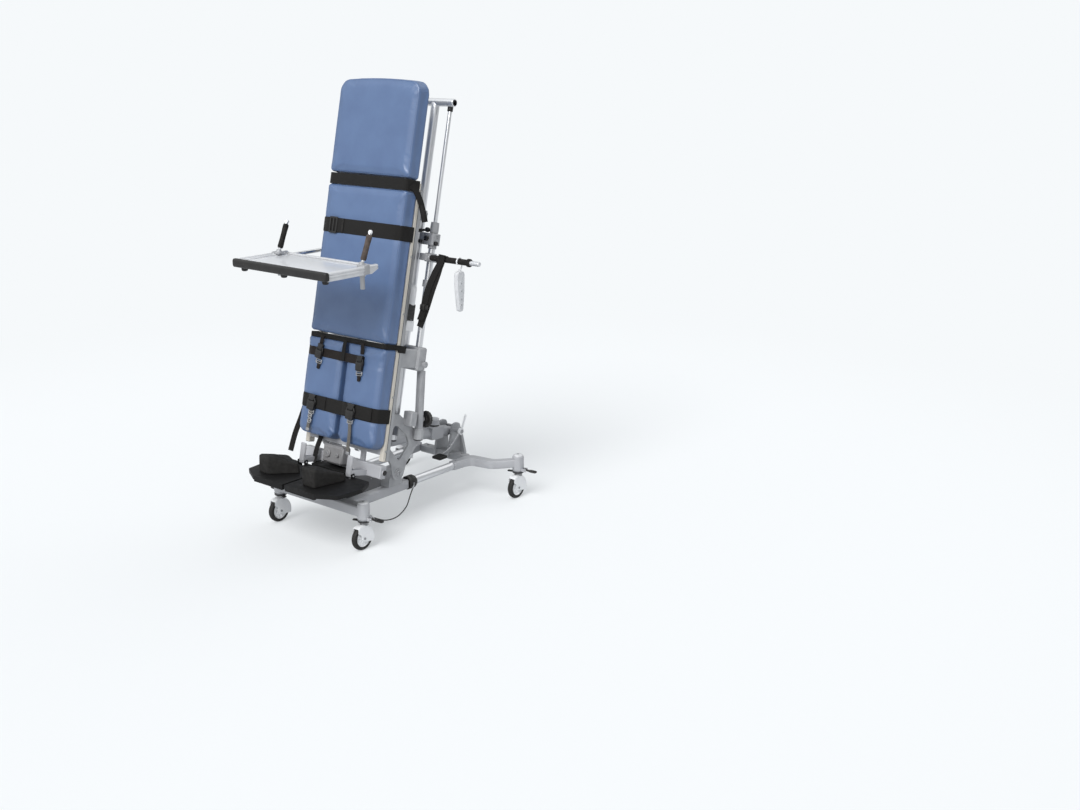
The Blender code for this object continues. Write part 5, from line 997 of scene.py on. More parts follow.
# Column heads: a clamp block with its slit, the necks over the guide rod, two screws, three knobs and
# the black lever that loosens it; mirrored by the sign
def makeColumnHeads():
    for side, sign in sides:
        low, high = sorted((sign * 0.1955, sign * 0.29))
        place = liePlace(0, 0, 0)
        outline = plate(low, -0.292, high, -0.232, (0.012, 0.012, 0.014, 0.01), 8)
        turn = (place[0], place[1], place[3], -place[2])
        body = slab(outline, -1.143, -1.083, turn, 0.0035, 6)
        x = sign * push["rodX"]
        neck = turned(mm((10.7, 0), (20.5, 0), (22, 1.5), (22, 17.5), (19.5, 20), (19.5, 80),
                         (22, 82.5), (22, 120), (20.5, 135), (10.7, 135)), lie(x, 1.065, push["rodN"]),
                      lieAlong, 44, True)
        slit = box((sign * 0.2285 - 0.0012, 1.0826, -0.2925), (sign * 0.2285 + 0.0012, 1.1434, -0.2316),
                   place, 0.0003, 0.0004)
        screws = [socketScrew(lie(sign * 0.29, s, -0.262), sign * lieAcross, 0.0052, 0.004)
                  for s in (1.122, 1.133)]
        start, end = lie(sign * 0.235, 1.158, -0.242), lie(sign * 0.188, 1.146, -0.212)
        path = start + np.linspace(0, 1, 9)[:, None] * (end - start)
        radii = np.array((0.0062, 0.006, 0.0061, 0.0066, 0.0073, 0.008, 0.0086, 0.009, 0.0086))
        lever = tube(path, radii, 0.004, 28)
        hub = turned(mm((0, -10), (9.5, -10), (12.5, -6), (12.5, 6), (10, 9.5), (0, 10)), start, lieOut,
                     36)
        knobs = [turned([(0, -0.002), (0.0085, -0.002), (radius, 0.002), (radius, 0.012),
                         (radius - 0.0025, 0.015), (0, 0.016)], lie(sign * across, s, n), axis, 32)
                 for across, s, n, axis, radius in ((0.25, 1.115, -0.232, lieOut, 0.013),
                                                    (0.212, 1.096, -0.232, lieOut, 0.0105),
                                                    (0.29, 1.093, -0.25, sign * lieAcross, 0.0115))]
        addPiece("columnHead_" + side, [(body, castPaint), (neck, castPaint), (slit, blackPlastic),
                                        (screws, zinc), (lever, blackGloss), (hub, blackGloss),
                                        (knobs, blackGloss)], "tilt_frame", ("column_head_" + side,))


# Control box: ribbed black housing, the white motor capsule above it and the light connector below
driveUnit = {"x": 0.222, "case": ((-0.026, 0.69, -0.208), (0.034, 0.775, -0.14)),
             "ribs": (0.7, 0.766, 0.0075), "light": ((-0.016, 0.636, -0.212), (0.034, 0.6905, -0.156)),
             "foot": ((-0.018, 0.706, -0.145), (0.018, 0.738, -0.1026)),
             "capsule": (0.233, 0.7695, -0.186)}


def makeDriveUnit():
    d = driveUnit
    place = liePlace(d["x"], 0, 0)
    ribs = [box((0.0325, s, -0.2), (0.035, s + 0.0028, -0.148), place, 0.0006, 0.001)
            for s in np.arange(*d["ribs"])]
    capsule = turned(mm((0, 0), (23.5, 0), (26, 2.5), (26, 20), (25, 21.2), (25, 23.2), (26, 24.4),
                        (26, 86), (24.5, 94), (20, 99.5), (12, 102), (0, 102.5)), lie(*d["capsule"]),
                     lieAlong, 48)
    screws = [socketScrew(lie(0.256, s, n), lieAcross, 0.003, 0.0022) for s in (0.6945, 0.7705)
              for n in (-0.184, -0.152)]
    addPiece("driveUnit", [(box(*d["case"], place, 0.0035, 0.005), blackPlastic), (ribs, blackPlastic),
                           (capsule, whitePlastic),
                           (box(*d["light"], place, 0.003, 0.005), whitePlastic),
                           (box(*d["foot"], place, 0.0015, 0.003), castPaint), (screws, zinc)],
             "tilt_frame", ("drive_unit",))


# Hand wheel: a disc with a fluted rim, its hub and a pressed cap; the rim's radius waves by a cosine
handWheel = {"place": (0.27, 0.185, -0.3563), "flutes": 18, "wave": 0.001, "from": 0.036, "over": 0.006,
             "profile": ((0.0, 0.046), (0.0088, 0.0458), (0.0118, 0.044), (0.013, 0.03),
                         (0.018, 0.0262), (0.029, 0.0262), (0.0335, 0.03), (0.037, 0.0328),
                         (0.041, 0.0324), (0.044, 0.029), (0.045, 0.024), (0.044, 0.019),
                         (0.041, 0.0152), (0.037, 0.0142), (0.0335, 0.016), (0.029, 0.018),
                         (0.015, 0.018), (0.0122, 0.015), (0.0118, 0.0008), (0.011, 0.0), (0.0, 0.0))}


def makeHandWheel():
    h = handWheel
    start, profile = lie(*h["place"]), np.array(h["profile"])
    angle = around(144)
    wave = np.clip((profile[:, :1] - h["from"]) / h["over"], 0, 1)
    radius = profile[:, :1] - wave * h["wave"] * (1 - np.cos(angle * h["flutes"]))
    grid = put(axisPlace(start, -lieOut), radius * np.cos(angle), radius * np.sin(angle),
               profile[:, 1:])
    cap = turned(mm((0, 45.6), (7, 45.6), (6.6, 47), (0, 47.6)), start, -lieOut, 32)
    addPiece("handWheel", [(closedShape(grid), blackPlastic), (cap, greyPlastic)], "hand_wheel",
             ("hand_wheel",))


makeMasts()
makePushHandle()
makeColumns()
makeColumnHeads()
makeDriveUnit()
makeHandWheel()
print("masts, columns and handle made")


# Tray: a pale laminate panel let into two extruded side channels, a back and a front bar, the soft
# black bumper, three clamping knobs under it and the hinge ear of its arm
tray = {"half": 0.335, "y": (-0.705, -0.387), "z": (1.398, 1.424), "wide": 0.034, "panel": 0.3038,
        "armX": -0.352, "armZ": 1.392, "armR": 0.01, "hingeY": -0.4, "clampS": 0.98, "deep": 0.0175,
        "slant": 0.034}


# The channel's section across: two steps up from the panel to the rim, a slot line outside and a
# second, narrower body under it
def channelSection():
    half, wide, low, high = tray["half"], tray["wide"], *tray["z"]
    inner, foot = half - wide, low - tray["deep"]
    return outlineOf([(inner, low, 0.002), (inner + 0.006, foot, 0.002), (half - 0.006, foot, 0.004),
                      (half - 0.003, low - 0.003, 0.002), (half - 0.004, low + 0.0014, 0.0006),
                      (half, low + 0.002, 0.0008), (half, low + 0.01, 0.0008),
                      (half - 0.0026, low + 0.0104, 0.0005), (half - 0.0026, low + 0.0146, 0.0005),
                      (half, low + 0.015, 0.0008), (half, high - 0.004, 0.002),
                      (half - 0.004, high, 0.003), (inner + 0.015, high, 0.003),
                      (inner + 0.0128, high - 0.0048, 0.002), (inner + 0.003, high - 0.0056, 0.002),
                      (inner, high - 0.009, 0.002)], 5)


def makeTray():
    panel, armX, armZ, hingeY = (tray[k] for k in ("panel", "armX", "armZ", "hingeY"))
    t = tray
    y0, y1 = t["y"]
    z0, z1 = t["z"]
    world = worldPlace()
    outline = plate(-panel, y0 + 0.004, panel, y1 - 0.004, 0.004, 4)
    shaped = [(slab(outline, z0 + 0.008, z0 + 0.014, world, 0.0008), paleTray)]
    section = channelSection()
    for sign in (-1, 1):
        along = np.array((y0 + 0.0008, y0 + 0.0024, y1 - 0.0024, y1 - 0.0008))
        middle = np.array((t["half"] - t["wide"] / 2, (z0 + z1) / 2))
        rings = np.stack([middle + (section - middle) * k for k in (0.94, 1.0, 1.0, 0.94)])
        rings[..., 0] *= sign
        cut = t["slant"] * np.clip((z0 + 0.002 - rings[..., 1]) / t["deep"], 0, 1)
        cut[:2] = 0  # the rear end slants forward below the slot line
        grid = np.stack([rings[..., 0], along[:, None] - cut, rings[..., 1]], -1)
        shaped.append((closedShape(grid), greyPlastic))
        end = outlineOf([(sign * 0.3045, z0 + 0.003, 0.002), (sign * 0.332, z0 + 0.003, 0.003),
                         (sign * 0.332, z1 - 0.003, 0.003), (sign * 0.3045, z1 - 0.009, 0.002)], 5)
        place = (np.array((0.0, 0.0, 0.0)), np.array((1.0, 0, 0)), np.array((0, 0, 1.0)),
                 np.array((0, -1.0, 0)))
        shaped.append((slab(end, -y1 - 0.0009, -y1 + 0.0022, place, 0.001), blackPlastic))
    inner = t["half"] - t["wide"] + 0.004
    for low, high in ((y1 - 0.02, y1 - 0.001), (y0 + 0.001, y0 + 0.016)):
        shaped.append((box((-inner, low, z0 + 0.001), (inner, high, z1 - 0.006), world), greyPlastic))
    for y in (y0 + 0.0172, y1 - 0.0212):
        shaped.append((box((-panel + 0.002, y - 0.0009, z0 + 0.0132),
                           (panel - 0.002, y + 0.0009, z0 + 0.0142), world, 0.0003, 0.0005),
                       blackPlastic))
    for x in (-0.316, -0.022, 0.27):
        y, top = y0 + 0.036, z0 - 0.016
        knob = turned(mm((0, -22), (7, -22), (7, 1), (10.5, 2), (14.8, 3.2), (15.2, 19), (13.6, 22.8),
                         (8, 24.6), (0, 25)), (x, y, top), (0, 0, -1), 36)
        grooves = []
        for angle in np.radians(np.arange(12) * 30.0):
            c, d = x + math.cos(angle) * 0.015, y + math.sin(angle) * 0.015
            grooves.append(rod((c, d, top - 0.0045), (c, d, top - 0.0185), 0.0012, 0.0005, 10))
        shaped += [(knob, blackPlastic), (grooves, blackPlastic)]
    ear = box((armX + 0.0115, hingeY - 0.012, armZ - 0.014), (armX + 0.0295, hingeY + 0.011, z0 + 0.01),
              world, 0.002, 0.006)
    shaped.append((ear, castPaint))
    screws = [socketScrew((armX + 0.0295 + 0.012, hingeY + k, z0), (0, 0, -1), 0.0042, 0.003)
              for k in (-0.008, 0.008)]
    shaped.append((screws, zinc))
    addPiece("trayTop", shaped, "tray", ("tray_panel",), 34)


# The bumper: a section flat towards the tray and round outside, as powers of the cosine and the sine,
# carried across and drawn in at both ends
def makeBumper():
    z0, z1 = tray["z"]
    reach = tray["half"] + 0.003
    turn = around(40)
    deep, tall = 0.0237 / 2, (z1 - z0 + 0.016) / 2
    c, d = np.cos(turn), np.sin(turn)
    power = np.where(c < 0, 0.8, 0.22)
    roll = np.stack([deep * np.sign(c) * np.abs(c) ** power, tall * np.sign(d) * np.abs(d) ** 0.62], -1)
    across = np.concatenate([-reach + 0.01 * (1 - np.cos(np.linspace(0, np.pi / 2, 6))),
                             np.linspace(-0.3, 0.3, 13),
                             reach - 0.01 * (1 - np.cos(np.linspace(np.pi / 2, 0, 6)))])
    size = np.ones(len(across))
    size[:6] = 0.55 + 0.45 * np.sin(np.linspace(0, np.pi / 2, 6))
    size[-6:] = size[:6][::-1]
    grid = np.stack(np.broadcast_arrays(across[:, None],
                                        -0.7172 + (roll[:, 0] - deep) * size[:, None] + deep,
                                        1.4045 + roll[:, 1] * (0.4 + 0.6 * size[:, None])), -1)
    seams = [rod((x, -0.7295, 1.4045), (x, -0.7278, 1.4045), 0.0046, 0.0005, 24) for x in (-0.25, 0.25)]
    addPiece("trayBumper", [(closedShape(grid), blackPlastic), (seams, blackPlastic)], "tray",
             ("tray_bumper",))


# Grips: chrome posts on the tray's back corners, leaning towards the patient, with foam whose radius
# follows a table, a cast foot and a white ball; a stub goes on below, clamped beside the tray
def makeGrips():
    for side, sign in sides:
        x = sign * 0.3
        low, top = np.array((x, -0.462, 1.4243)), np.array((x, -0.398, 1.575))
        along = unit(top - low)
        post = rod(low + along * 0.003, top - along * 0.002, 0.0078, 0.001, 28)
        foot = turned(mm((0, 0), (17, 0), (17, 5), (15, 9), (11.5, 12), (10, 16.5), (0, 17)), low,
                      (0, 0, 1), 40)
        t = np.array((0.024, 0.03, 0.036, 0.06, 0.085, 0.11, 0.13, 0.139, 0.146, 0.1505))
        radii = np.array((0.0125, 0.0142, 0.0145, 0.0139, 0.0134, 0.0137, 0.0145, 0.0146, 0.0138,
                          0.0118))
        foam = tube(low + t[:, None] * along, radii, 0.003, 36)
        rings = [weldBead(low + k * along, along, 0.014, 0.0011, 0.0, 48) for k in (0.04, 0.136)]
        angle = np.linspace(-math.pi / 2, math.pi / 2, 17)
        ball = turned(np.stack([0.011 * np.cos(angle), 0.011 * np.sin(angle)], -1), top, along, 36)
        neck = rod(top - along * 0.016, top - along * 0.006, 0.0085, 0.001, 28)
        skin = blackFoam if sign < 0 else brownFoam
        near, far = sorted((x - sign * 0.019, x + sign * 0.034))
        clamp = box((near, -0.481, 1.418), (far, -0.443, 1.429), worldPlace(), 0.0028, 0.006)
        near, far = sorted((x + sign * 0.03, x + sign * 0.0375))
        cheek = box((near, -0.48, 1.383), (far, -0.444, 1.427), worldPlace(), 0.0022, 0.005)
        stub = rod((x, -0.462, 1.4), (x, -0.462, 1.308), 0.0115, 0.0025, 36)
        nut = turned(barrel(0, 0.0165, 0, 0.014, 0.0015, 0.002), (x, -0.462, 1.384), (0, 0, -1), 40)
        addPiece("trayGrip_" + side, [(post, chrome), (foot, castPaint), (foam, skin), (stub, zinc),
                                      (clamp, castPaint), (cheek, castPaint), (nut, castPaint),
                                      (rings, skin), (ball, whitePlastic), (neck, chrome)], "tray",
                 ("tray_grip_" + side,))


def makeTrayArm():
    armX, armZ, hingeY, s, radius = (tray[k] for k in ("armX", "armZ", "hingeY", "clampS", "armR"))
    n = push["rodN"]
    _, y, z = lie(0, s, n)
    end = y + 0.15
    arm = rod((armX, hingeY + 0.004, armZ), (armX, end, armZ), radius, 0.002, 36)
    cap = turned(mm((0, 0), (10.2, 0), (10.2, 5), (8.5, 8), (0, 8.8)), (armX, end - 0.0088, armZ),
                 (0, 1, 0), 32)
    knuckle = turned(barrel(0, 0.0125, 0, 0.022, 0.0015), (armX - 0.012, hingeY, armZ), (1, 0, 0), 40)
    pin = rod((armX - 0.014, hingeY, armZ), (armX + 0.0398, hingeY, armZ), 0.0048, 0.001, 24)
    addPiece("trayArm", [(arm, chrome), (cap, blackPlastic), (knuckle, castPaint), (pin, zinc)],
             "tray_arm", ("tray_arm",))
    x = -push["rodX"]
    clamp = turned(barrel(0.018, 0.0295, -0.027, 0.027, 0.0015), lie(x, s, n), lieAlong, 48, True)
    world = worldPlace()
    bridge = box((armX - 0.004, y - 0.016, z - 0.018), (x - 0.019, y + 0.016, z + 0.02), world, 0.003,
                 0.004)
    riser = box((armX - 0.006, y - 0.014, z - 0.012), (armX + 0.018, y + 0.014, armZ + 0.003), world,
                0.003, 0.004)
    socket = turned(barrel(0.0103, 0.017, 0, 0.115, 0.0012), (armX, y - 0.075, armZ), (0, 1, 0), 40,
                    True)
    screws = [socketScrew((armX, y + k, armZ + 0.0168), (0, 0, 1), 0.0048, 0.004)
              for k in (-0.06, 0.026)]
    start, stop = np.array((x - 0.02, y + 0.02, z - 0.006)), np.array((x - 0.052, y + 0.034, z - 0.006))
    along = unit(stop - start)
    stem = rod(start, stop - along * 0.012, 0.006, 0.001, 24)
    knob = turned(mm((0, 0), (8.5, 0), (12.2, 3), (13, 7), (13, 14), (11.5, 17.2), (6, 18.8), (0, 19)),
                  stop - along * 0.019, along, 36)
    addPiece("trayCarrier", [(clamp, castPaint), (bridge, castPaint), (riser, castPaint),
                             (socket, castPaint), (screws, zinc), (stem, zinc), (knob, blackPlastic)],
             "tray_carrier", ("tray_carrier",))


# Side bar: its clamp on the right column, chrome bar with foam and a bare end; the hand control
# hangs on it by a wire hook and the spare belt lies folded over its inner end
sideBar = {"s": 1.02, "n": -0.215, "end": 0.635, "radius": 0.012, "hookX": 0.5}


def makeSideBar():
    b = sideBar
    x, s, n = push["rodX"], b["s"], b["n"]
    clamp = turned(barrel(0.018, 0.0295, -0.022, 0.022, 0.0015), lie(x, s, push["rodN"]), lieAlong, 48,
                   True)
    place = liePlace()
    bridge = box((x - 0.016, s - 0.018, push["rodN"] + 0.019), (x + 0.036, s + 0.018, n + 0.018), place,
                 0.0035, 0.006)
    bar = rod(lie(x - 0.012, s, n), lie(b["end"], s, n), b["radius"], 0.004, 40)
    t = np.array((x + 0.05, x + 0.054, x + 0.1, 0.45, 0.53, b["end"] - 0.064, b["end"] - 0.06))
    foam = tube(lie(t, s, n), np.array((0.014, 0.0152, 0.0153, 0.015, 0.0152, 0.0152, 0.015)), 0.003,
                44)
    stop = turned(mm((11.9, 0), (18.5, 0), (20.5, 3), (20.8, 10), (20, 16.5), (17, 19), (11.9, 19)),
                  lie(b["end"] - 0.078, s, n), lieAcross, 44, True)
    collar = turned(barrel(0.0119, 0.0158, 0, 0.01, 0.0008, 0.001), lie(x + 0.037, s, n), lieAcross, 40,
                    True)
    screws = [socketScrew(lie(x + k, s + 0.0175, n - 0.02), lieAlong, 0.0048, 0.004)
              for k in (-0.006, 0.026)]
    lever = tube(lie(np.array((x + 0.01, x + 0.022, x + 0.04)), s - 0.016,
                     push["rodN"] - np.array((0.026, 0.034, 0.046))),
                 np.array((0.0055, 0.0058, 0.0075)), 0.003, 24)
    addPiece("sideBarRail", [(clamp, castPaint), (bridge, castPaint), (bar, silverBar),
                             (foam, blackFoam), (stop, blackFoam), (collar, castPaint), (screws, zinc),
                             (lever, blackGloss)], "side_bar", ("side_bar",))


# Hand control: the pendant's tapered outline in the upright plane, the seam between its halves, four
# keys with arrows, a lamp and the wire hook, an arc round the bar that runs down to the shell
def makeHandControl():
    b = sideBar
    x = b["hookX"]
    _, y, z = lie(0, b["s"], b["n"])
    outline = outlineOf(mm((-15, -251, 13), (14, -251, 13), (26.5, -150, 80), (30, -46.5, 22),
                           (-28, -46.5, 22), (-27, -140, 80)), 9)
    place = (np.array((x, y, z)), np.array((0.0, 1.0, 0.0)), np.array((0.0, 0.0, 1.0)),
             np.array((1.0, 0.0, 0.0)))
    shell = slab(outline, -0.0135, 0.0118, place, 0.0065, 9)
    half = slab(outline * (1.004, 1.002), -0.0008, 0.0008, place, 0.0006, 3)
    shaped = [(shell, greyPlastic), (half, whitePlastic)]
    for middle, point in ((-0.108, 1), (-0.148, -1), (-0.188, 1), (-0.218, -1)):
        key = plate(-0.0125, middle - 0.011, 0.0125, middle + 0.011, 0.005, 7)
        arrow = outlineOf([(-0.0062, middle - point * 0.004, 0.001),
                           (0.0062, middle - point * 0.004, 0.001),
                           (0.0, middle + point * 0.0052, 0.001)], 3)
        shaped.append((slab(key, 0.0106, 0.0126, place, 0.001), greyPlastic))
        shaped.append((slab(arrow, 0.0122, 0.013, place, 0.0003), zinc))
    lamp = turned(mm((0, 11), (2.6, 11), (2.4, 12.8), (0, 13.4)), (x, y, z - 0.078), (1, 0, 0), 20)
    shaped.append((lamp, greyPlastic))
    reach = b["radius"] + 0.003 + 0.0035 + 0.0005
    turn = np.radians(np.linspace(215, -35, 26))
    ring = np.stack([0 * turn + x, y + reach * np.cos(turn), z + reach * np.sin(turn)], -1)
    drop = lineThrough([ring[-1], (x, y + 0.0195, z - 0.024), (x, y + 0.012, z - 0.04),
                        (x, y + 0.003, z - 0.052), (x, y + 0.001, z - 0.06)], 5)
    wire = tube(np.concatenate([ring, drop[1:]]), 0.0034, 0.0012, 18, (1, 0, 0))
    collar = turned(mm((0, 0), (6.2, 0), (7, 1), (6, 10), (0, 10)), (x, y + 0.001, z - 0.049),
                    (0, 0.06, 1), 28)
    shaped += [(wire, whitePlastic), (collar, greyPlastic)]
    addPiece("handControl", shaped, "side_bar", ("hand_control",))


# The spare belt: three folds of webbing one on another that hang, and the loop over the bar
def makeStowedStrap():
    b = sideBar
    x = push["rodX"] + 0.098
    near = b["n"] + b["radius"] + 0.003
    shaped = []
    for k, (gap, low, lean) in enumerate(((0.0022, -0.33, 0.0), (0.0068, -0.352, 0.01),
                                          (0.0112, -0.318, -0.008))):
        line = lineThrough([(x + 0.044, 0.022, near + gap - 0.001 * k), (x + 0.041, -0.02, near + gap),
                            (x + 0.029 + lean, -0.08, near + 0.01 + gap),
                            (x + 0.008 + lean * 1.3, -0.17, near + 0.018 + gap),
                            (x - 0.014 + lean * 0.7, -0.27, near + 0.013 + gap),
                            (x - 0.026, low, near + 0.019 + gap)], 8)
        shaped.append((band(lie(line[:, 0], b["s"] + line[:, 1], line[:, 2]), 0.042, lieAcross, 0.0036),
                       blackWeb))
    turn = np.linspace(-0.35, math.pi + 0.3, 22)
    reach = b["radius"] + 0.0055
    loop = lie(np.full(22, x + 0.044), b["s"] + reach * np.sin(turn), b["n"] + reach * np.cos(turn))
    shaped.append((band(loop, 0.035, lieAcross, 0.0028), blackWeb))
    place = (lie(x - 0.01, b["s"] - 0.25, near + 0.0285), lieAcross, lieAlong, lieOut)
    shaped.append((buckleShapes(place, 0.05, 0.03, 0.0075), blackPlastic))
    addPiece("stowedStrap", shaped, "side_bar", ("stowed_strap",))


makeTray()
makeBumper()
makeGrips()
makeTrayArm()
makeSideBar()
makeHandControl()
makeStowedStrap()
print("tray and side bar made")


# Swivel casters of 125 mm: a moulded rubber tread round a white hub, a white shell over its top and
# rear, a swivel head under the post and a black brake pedal hinged between two ears
caster = {"radius": 0.0625, "half": 0.015, "trail": 0.018, "shell": 0.0705, "shellHalf": 0.0212,
          "wall": 0.0032, "low": 0.152, "out": 0.044, "length": 0.066}


# The wheel: a tread between flat walls, a hub dished on both sides with ten spokes each, and a cap
def wheelShapes(center):
    r, h = caster["radius"], caster["half"]
    turn = np.radians(np.linspace(-80, 80, 13))
    tread = np.stack([r - 0.0052 + 0.0052 * np.cos(turn), h * 0.86 * np.sin(turn)], -1)
    tread = np.concatenate([[(0.0445, -h * 0.93), (0.05, -h)], tread, [(0.05, h), (0.0445, h * 0.93)]])
    inner = [(0.045, h * 0.8), (0.045, -h * 0.8)]
    tyre = turned(np.concatenate([tread, inner]), center, (1, 0, 0), 72, True)
    disc = [(0.0, -0.0125), (0.0085, -0.0125), (0.0125, -0.0118), (0.016, -0.0085), (0.03, -0.007),
            (0.0395, -0.0085), (0.0425, -0.012), (0.0452, -0.0122)]
    profile = disc + [(radius, -height) for radius, height in disc[::-1]]
    hub = turned(profile, center, (1, 0, 0), 64)
    ribs = []
    for sign in (-1, 1):  # ten raised spokes in the dished face of the hub
        for angle in np.radians(np.arange(10) * 36.0):
            c, d = math.cos(angle), math.sin(angle)
            place = (np.asarray(center, float), np.array((0, c, d)), np.array((0, -d, c)),
                     np.array((sign, 0, 0)))
            ribs.append(box((0.0145, -0.0017, 0.006), (0.0405, 0.0017, 0.0098), place, 0.0008, 0.0012))
    cap = turned(mm((0, 12), (6.2, 12), (7.8, 13.8), (7, 15.2), (0, 15.6)), center, (1, 0, 0), 32)
    return tyre, [hub, *ribs], cap


# The shell in the plane of the wheel: its outer line runs over the tread at a steady distance, its
# walls fall beside the wheel to the axle, and the grid goes out, over the top and back inside
def shellShapes(x, wheelY):
    z, out, half, wall = caster["radius"], caster["shell"], caster["shellHalf"], caster["wall"]
    angle = np.radians(np.linspace(-22, 124, 40))
    flank = np.stack([np.cos(angle), np.sin(angle)], -1)
    skirt = lineThrough(mm((24, -20), (10, -17), (-6, -13), (-14, -2), (-22, 20), (-40, 36)), 8)
    t = np.linspace(0, 1, 40)
    low = np.stack([np.interp(t, np.linspace(0, 1, len(skirt)), skirt[:, k]) for k in (0, 1)], -1)
    rows = [(half - depth, reach, 0.0) for depth,
            reach in ((0, 0.0), (0, 0.42), (0, 0.8), (0.0012, 0.95), (0.0052, 1.0))]
    section = np.array(rows + [(-h, reach, w) for h, reach, w in rows[::-1]])
    inside = section[::-1] * (0, 1, 1) + np.stack([np.sign(section[::-1, 0])
                                                   * np.minimum(np.abs(section[::-1, 0]), half - wall),
                                                   0 * section[:, 0], 0 * section[:, 0]], -1)
    loop = np.concatenate([section, inside])
    radial = np.where(np.arange(len(loop)) < len(section), out, out - wall)
    edge = low[:, None] + (flank[:, None] * radial[None, :, None] - low[:, None]) * loop[None, :, 1:2]
    grid = np.stack(np.broadcast_arrays(x + loop[None, :, 0], wheelY + edge[..., 0], z + edge[..., 1]),
                    -1)
    return closedShape(grid)


def makeCasters():
    c = caster
    for place, x, y, heading in corners:
        wheelY = y - c["trail"]
        center = (x, wheelY, c["radius"])
        tyre, hub, cap = wheelShapes(center)
        addPiece("casterWheel_" + place, [(tyre, tyreRubber), (hub, whitePlastic), (cap, greyPlastic)],
                 "wheel_" + place, ("caster_wheel_" + place,))
        head = turned(mm((0, 151.2), (20, 151.2), (22.2, 149), (22.2, 144), (19.5, 142), (19.5, 136),
                         (22.5, 133), (22.5, 127), (0, 127)), (x, y, 0), (0, 0, 1), 44)
        axle = rod((x - 0.0222, wheelY, c["radius"]), (x + 0.0222, wheelY, c["radius"]), 0.0056, 0.001)
        ends = [socketScrew((x + s * 0.0212, wheelY, c["radius"]), (s, 0, 0), 0.0062, 0.003)
                for s in (-1, 1)]
        addPiece("casterShell_" + place,
                 [(shellShapes(x, wheelY), whitePlastic), (head, zinc), (axle, zinc), (ends, zinc)],
                 "caster_" + place, ("caster_housing_" + place,), 42)
        turn = math.radians(heading)
        along, side = np.array((math.cos(turn), math.sin(turn), 0)), np.array((-math.sin(turn),
                                                                               math.cos(turn), 0))
        start = np.array((x, y, c["low"] + 0.01)) + along * c["out"]
        tilt = math.radians(6)
        place3 = (start, along * math.cos(tilt) - np.array((0, 0, math.sin(tilt))), side,
                  along * math.sin(tilt) + np.array((0, 0, math.cos(tilt))))
        outline = outlineOf([(-0.003, -0.008, 0.003), (0.018, -0.009, 0.006), (0.03, -0.0155, 0.008),
                             (c["length"], -0.0145, 0.011), (c["length"], 0.0145, 0.011),
                             (0.03, 0.0155, 0.008), (0.018, 0.009, 0.006), (-0.003, 0.008, 0.003)])
        tread = [box((k, -0.0115, 0.0028), (k + 0.003, 0.0115, 0.0048), place3, 0.0008, 0.001)
                 for k in np.arange(0.034, 0.06, 0.0058)]
        knuckle = rod(start - side * 0.0102, start + side * 0.0102, 0.0062, 0.001)
        pin = rod(start - side * 0.0176, start + side * 0.0176, 0.003, 0.0008)
        addPiece("brakePedal_" + place, [(slab(outline, -0.0034, 0.0034, place3, 0.0024, 5),
                                          blackPlastic), (tread, tyreRubber), (knuckle, blackPlastic),
                                         (pin, zinc)], "brake_pedal_" + place,
                 ("brake_pedal_" + place,))


makeCasters()
print("casters made")


# Casts and weldments keep the solid's shape, and get rounded edges, screws and caps of their own
# Rows of finish, slot, width of the rounded edges, body (none: the node's own) and nodes
welded = (("creamPowderCoat", "painted_steel", 0.001, "tilt_frame", ("lying_frame",)),
          ("paintedCasting", "cast_aluminium", 0.0016, "tilt_frame",
           ("cross_bracket", "swing_bracket_left", "swing_bracket_right")),
          ("powderCoatedSteel", "painted_steel", 0.0014, "tilt_frame", ("foot_carrier",)),
          ("powderCoatedSteel", "painted_steel", 0.0014, "base",
           ("front_frame", "rear_leg_left", "rear_leg_right")),
          ("paintedCasting", "cast_aluminium", 0.0016, "base", ("rear_bracket",)),
          ("darkPaintedPlate", "dark_plate", 0.001, "base", ("base_plate",)),
          ("paintedCasting", "cast_aluminium", 0.0016, "base",
           ("pivot_block_left", "pivot_block_right")),
          ("footPlateLaminate", "black_plastic", 0.0016, None, ("footplate_left", "footplate_right")),
          ("powderCoatedSteel", "painted_steel", 0.0014, None, ("actuator_body",)),
          ("chromePlate", "chromed_steel", 0.0008, None, ("actuator_rod",)))


# Where a weldment has a second colour: between these corners, measured across, along and out of the
# lying surface. The crossbars are grey between cream profiles, the foot end's middle casting is drawn
# darker
secondTone = {"lying_frame": ("powderCoatedSteel", (-0.2617, -9, -9), (0.2617, 9, 9)),
               "foot_carrier": ("darkerCasting", (-0.0885, -0.0985, -0.07), (0.0585, 0.0, 0.0))}


def makeWelded():
    rows = [(node, *row[:4]) for row in welded for node in row[4]]
    for node, materialName, slotName, width, body in rows:
        words = node.split("_")
        name = words[0] + "".join(w.title() for w in words[1:]) + "Edged"
        piece = refined(name, node, bpy.data.materials[materialName], body or node, width)
        if node in secondTone:
            finish, low, high = secondTone[node]
            middle = np.zeros(len(piece.data.polygons) * 3, np.float32)
            piece.data.polygons.foreach_get("center", middle)
            middle = (middle.reshape(-1, 3) - lieFoot) @ np.array((lieAcross, lieAlong, lieOut)).T
            inside = ((middle > low) & (middle < high)).all(1)
            piece.data.materials.append(bpy.data.materials[finish])
            piece.data.polygons.foreach_set("material_index", inside.astype(np.int32))


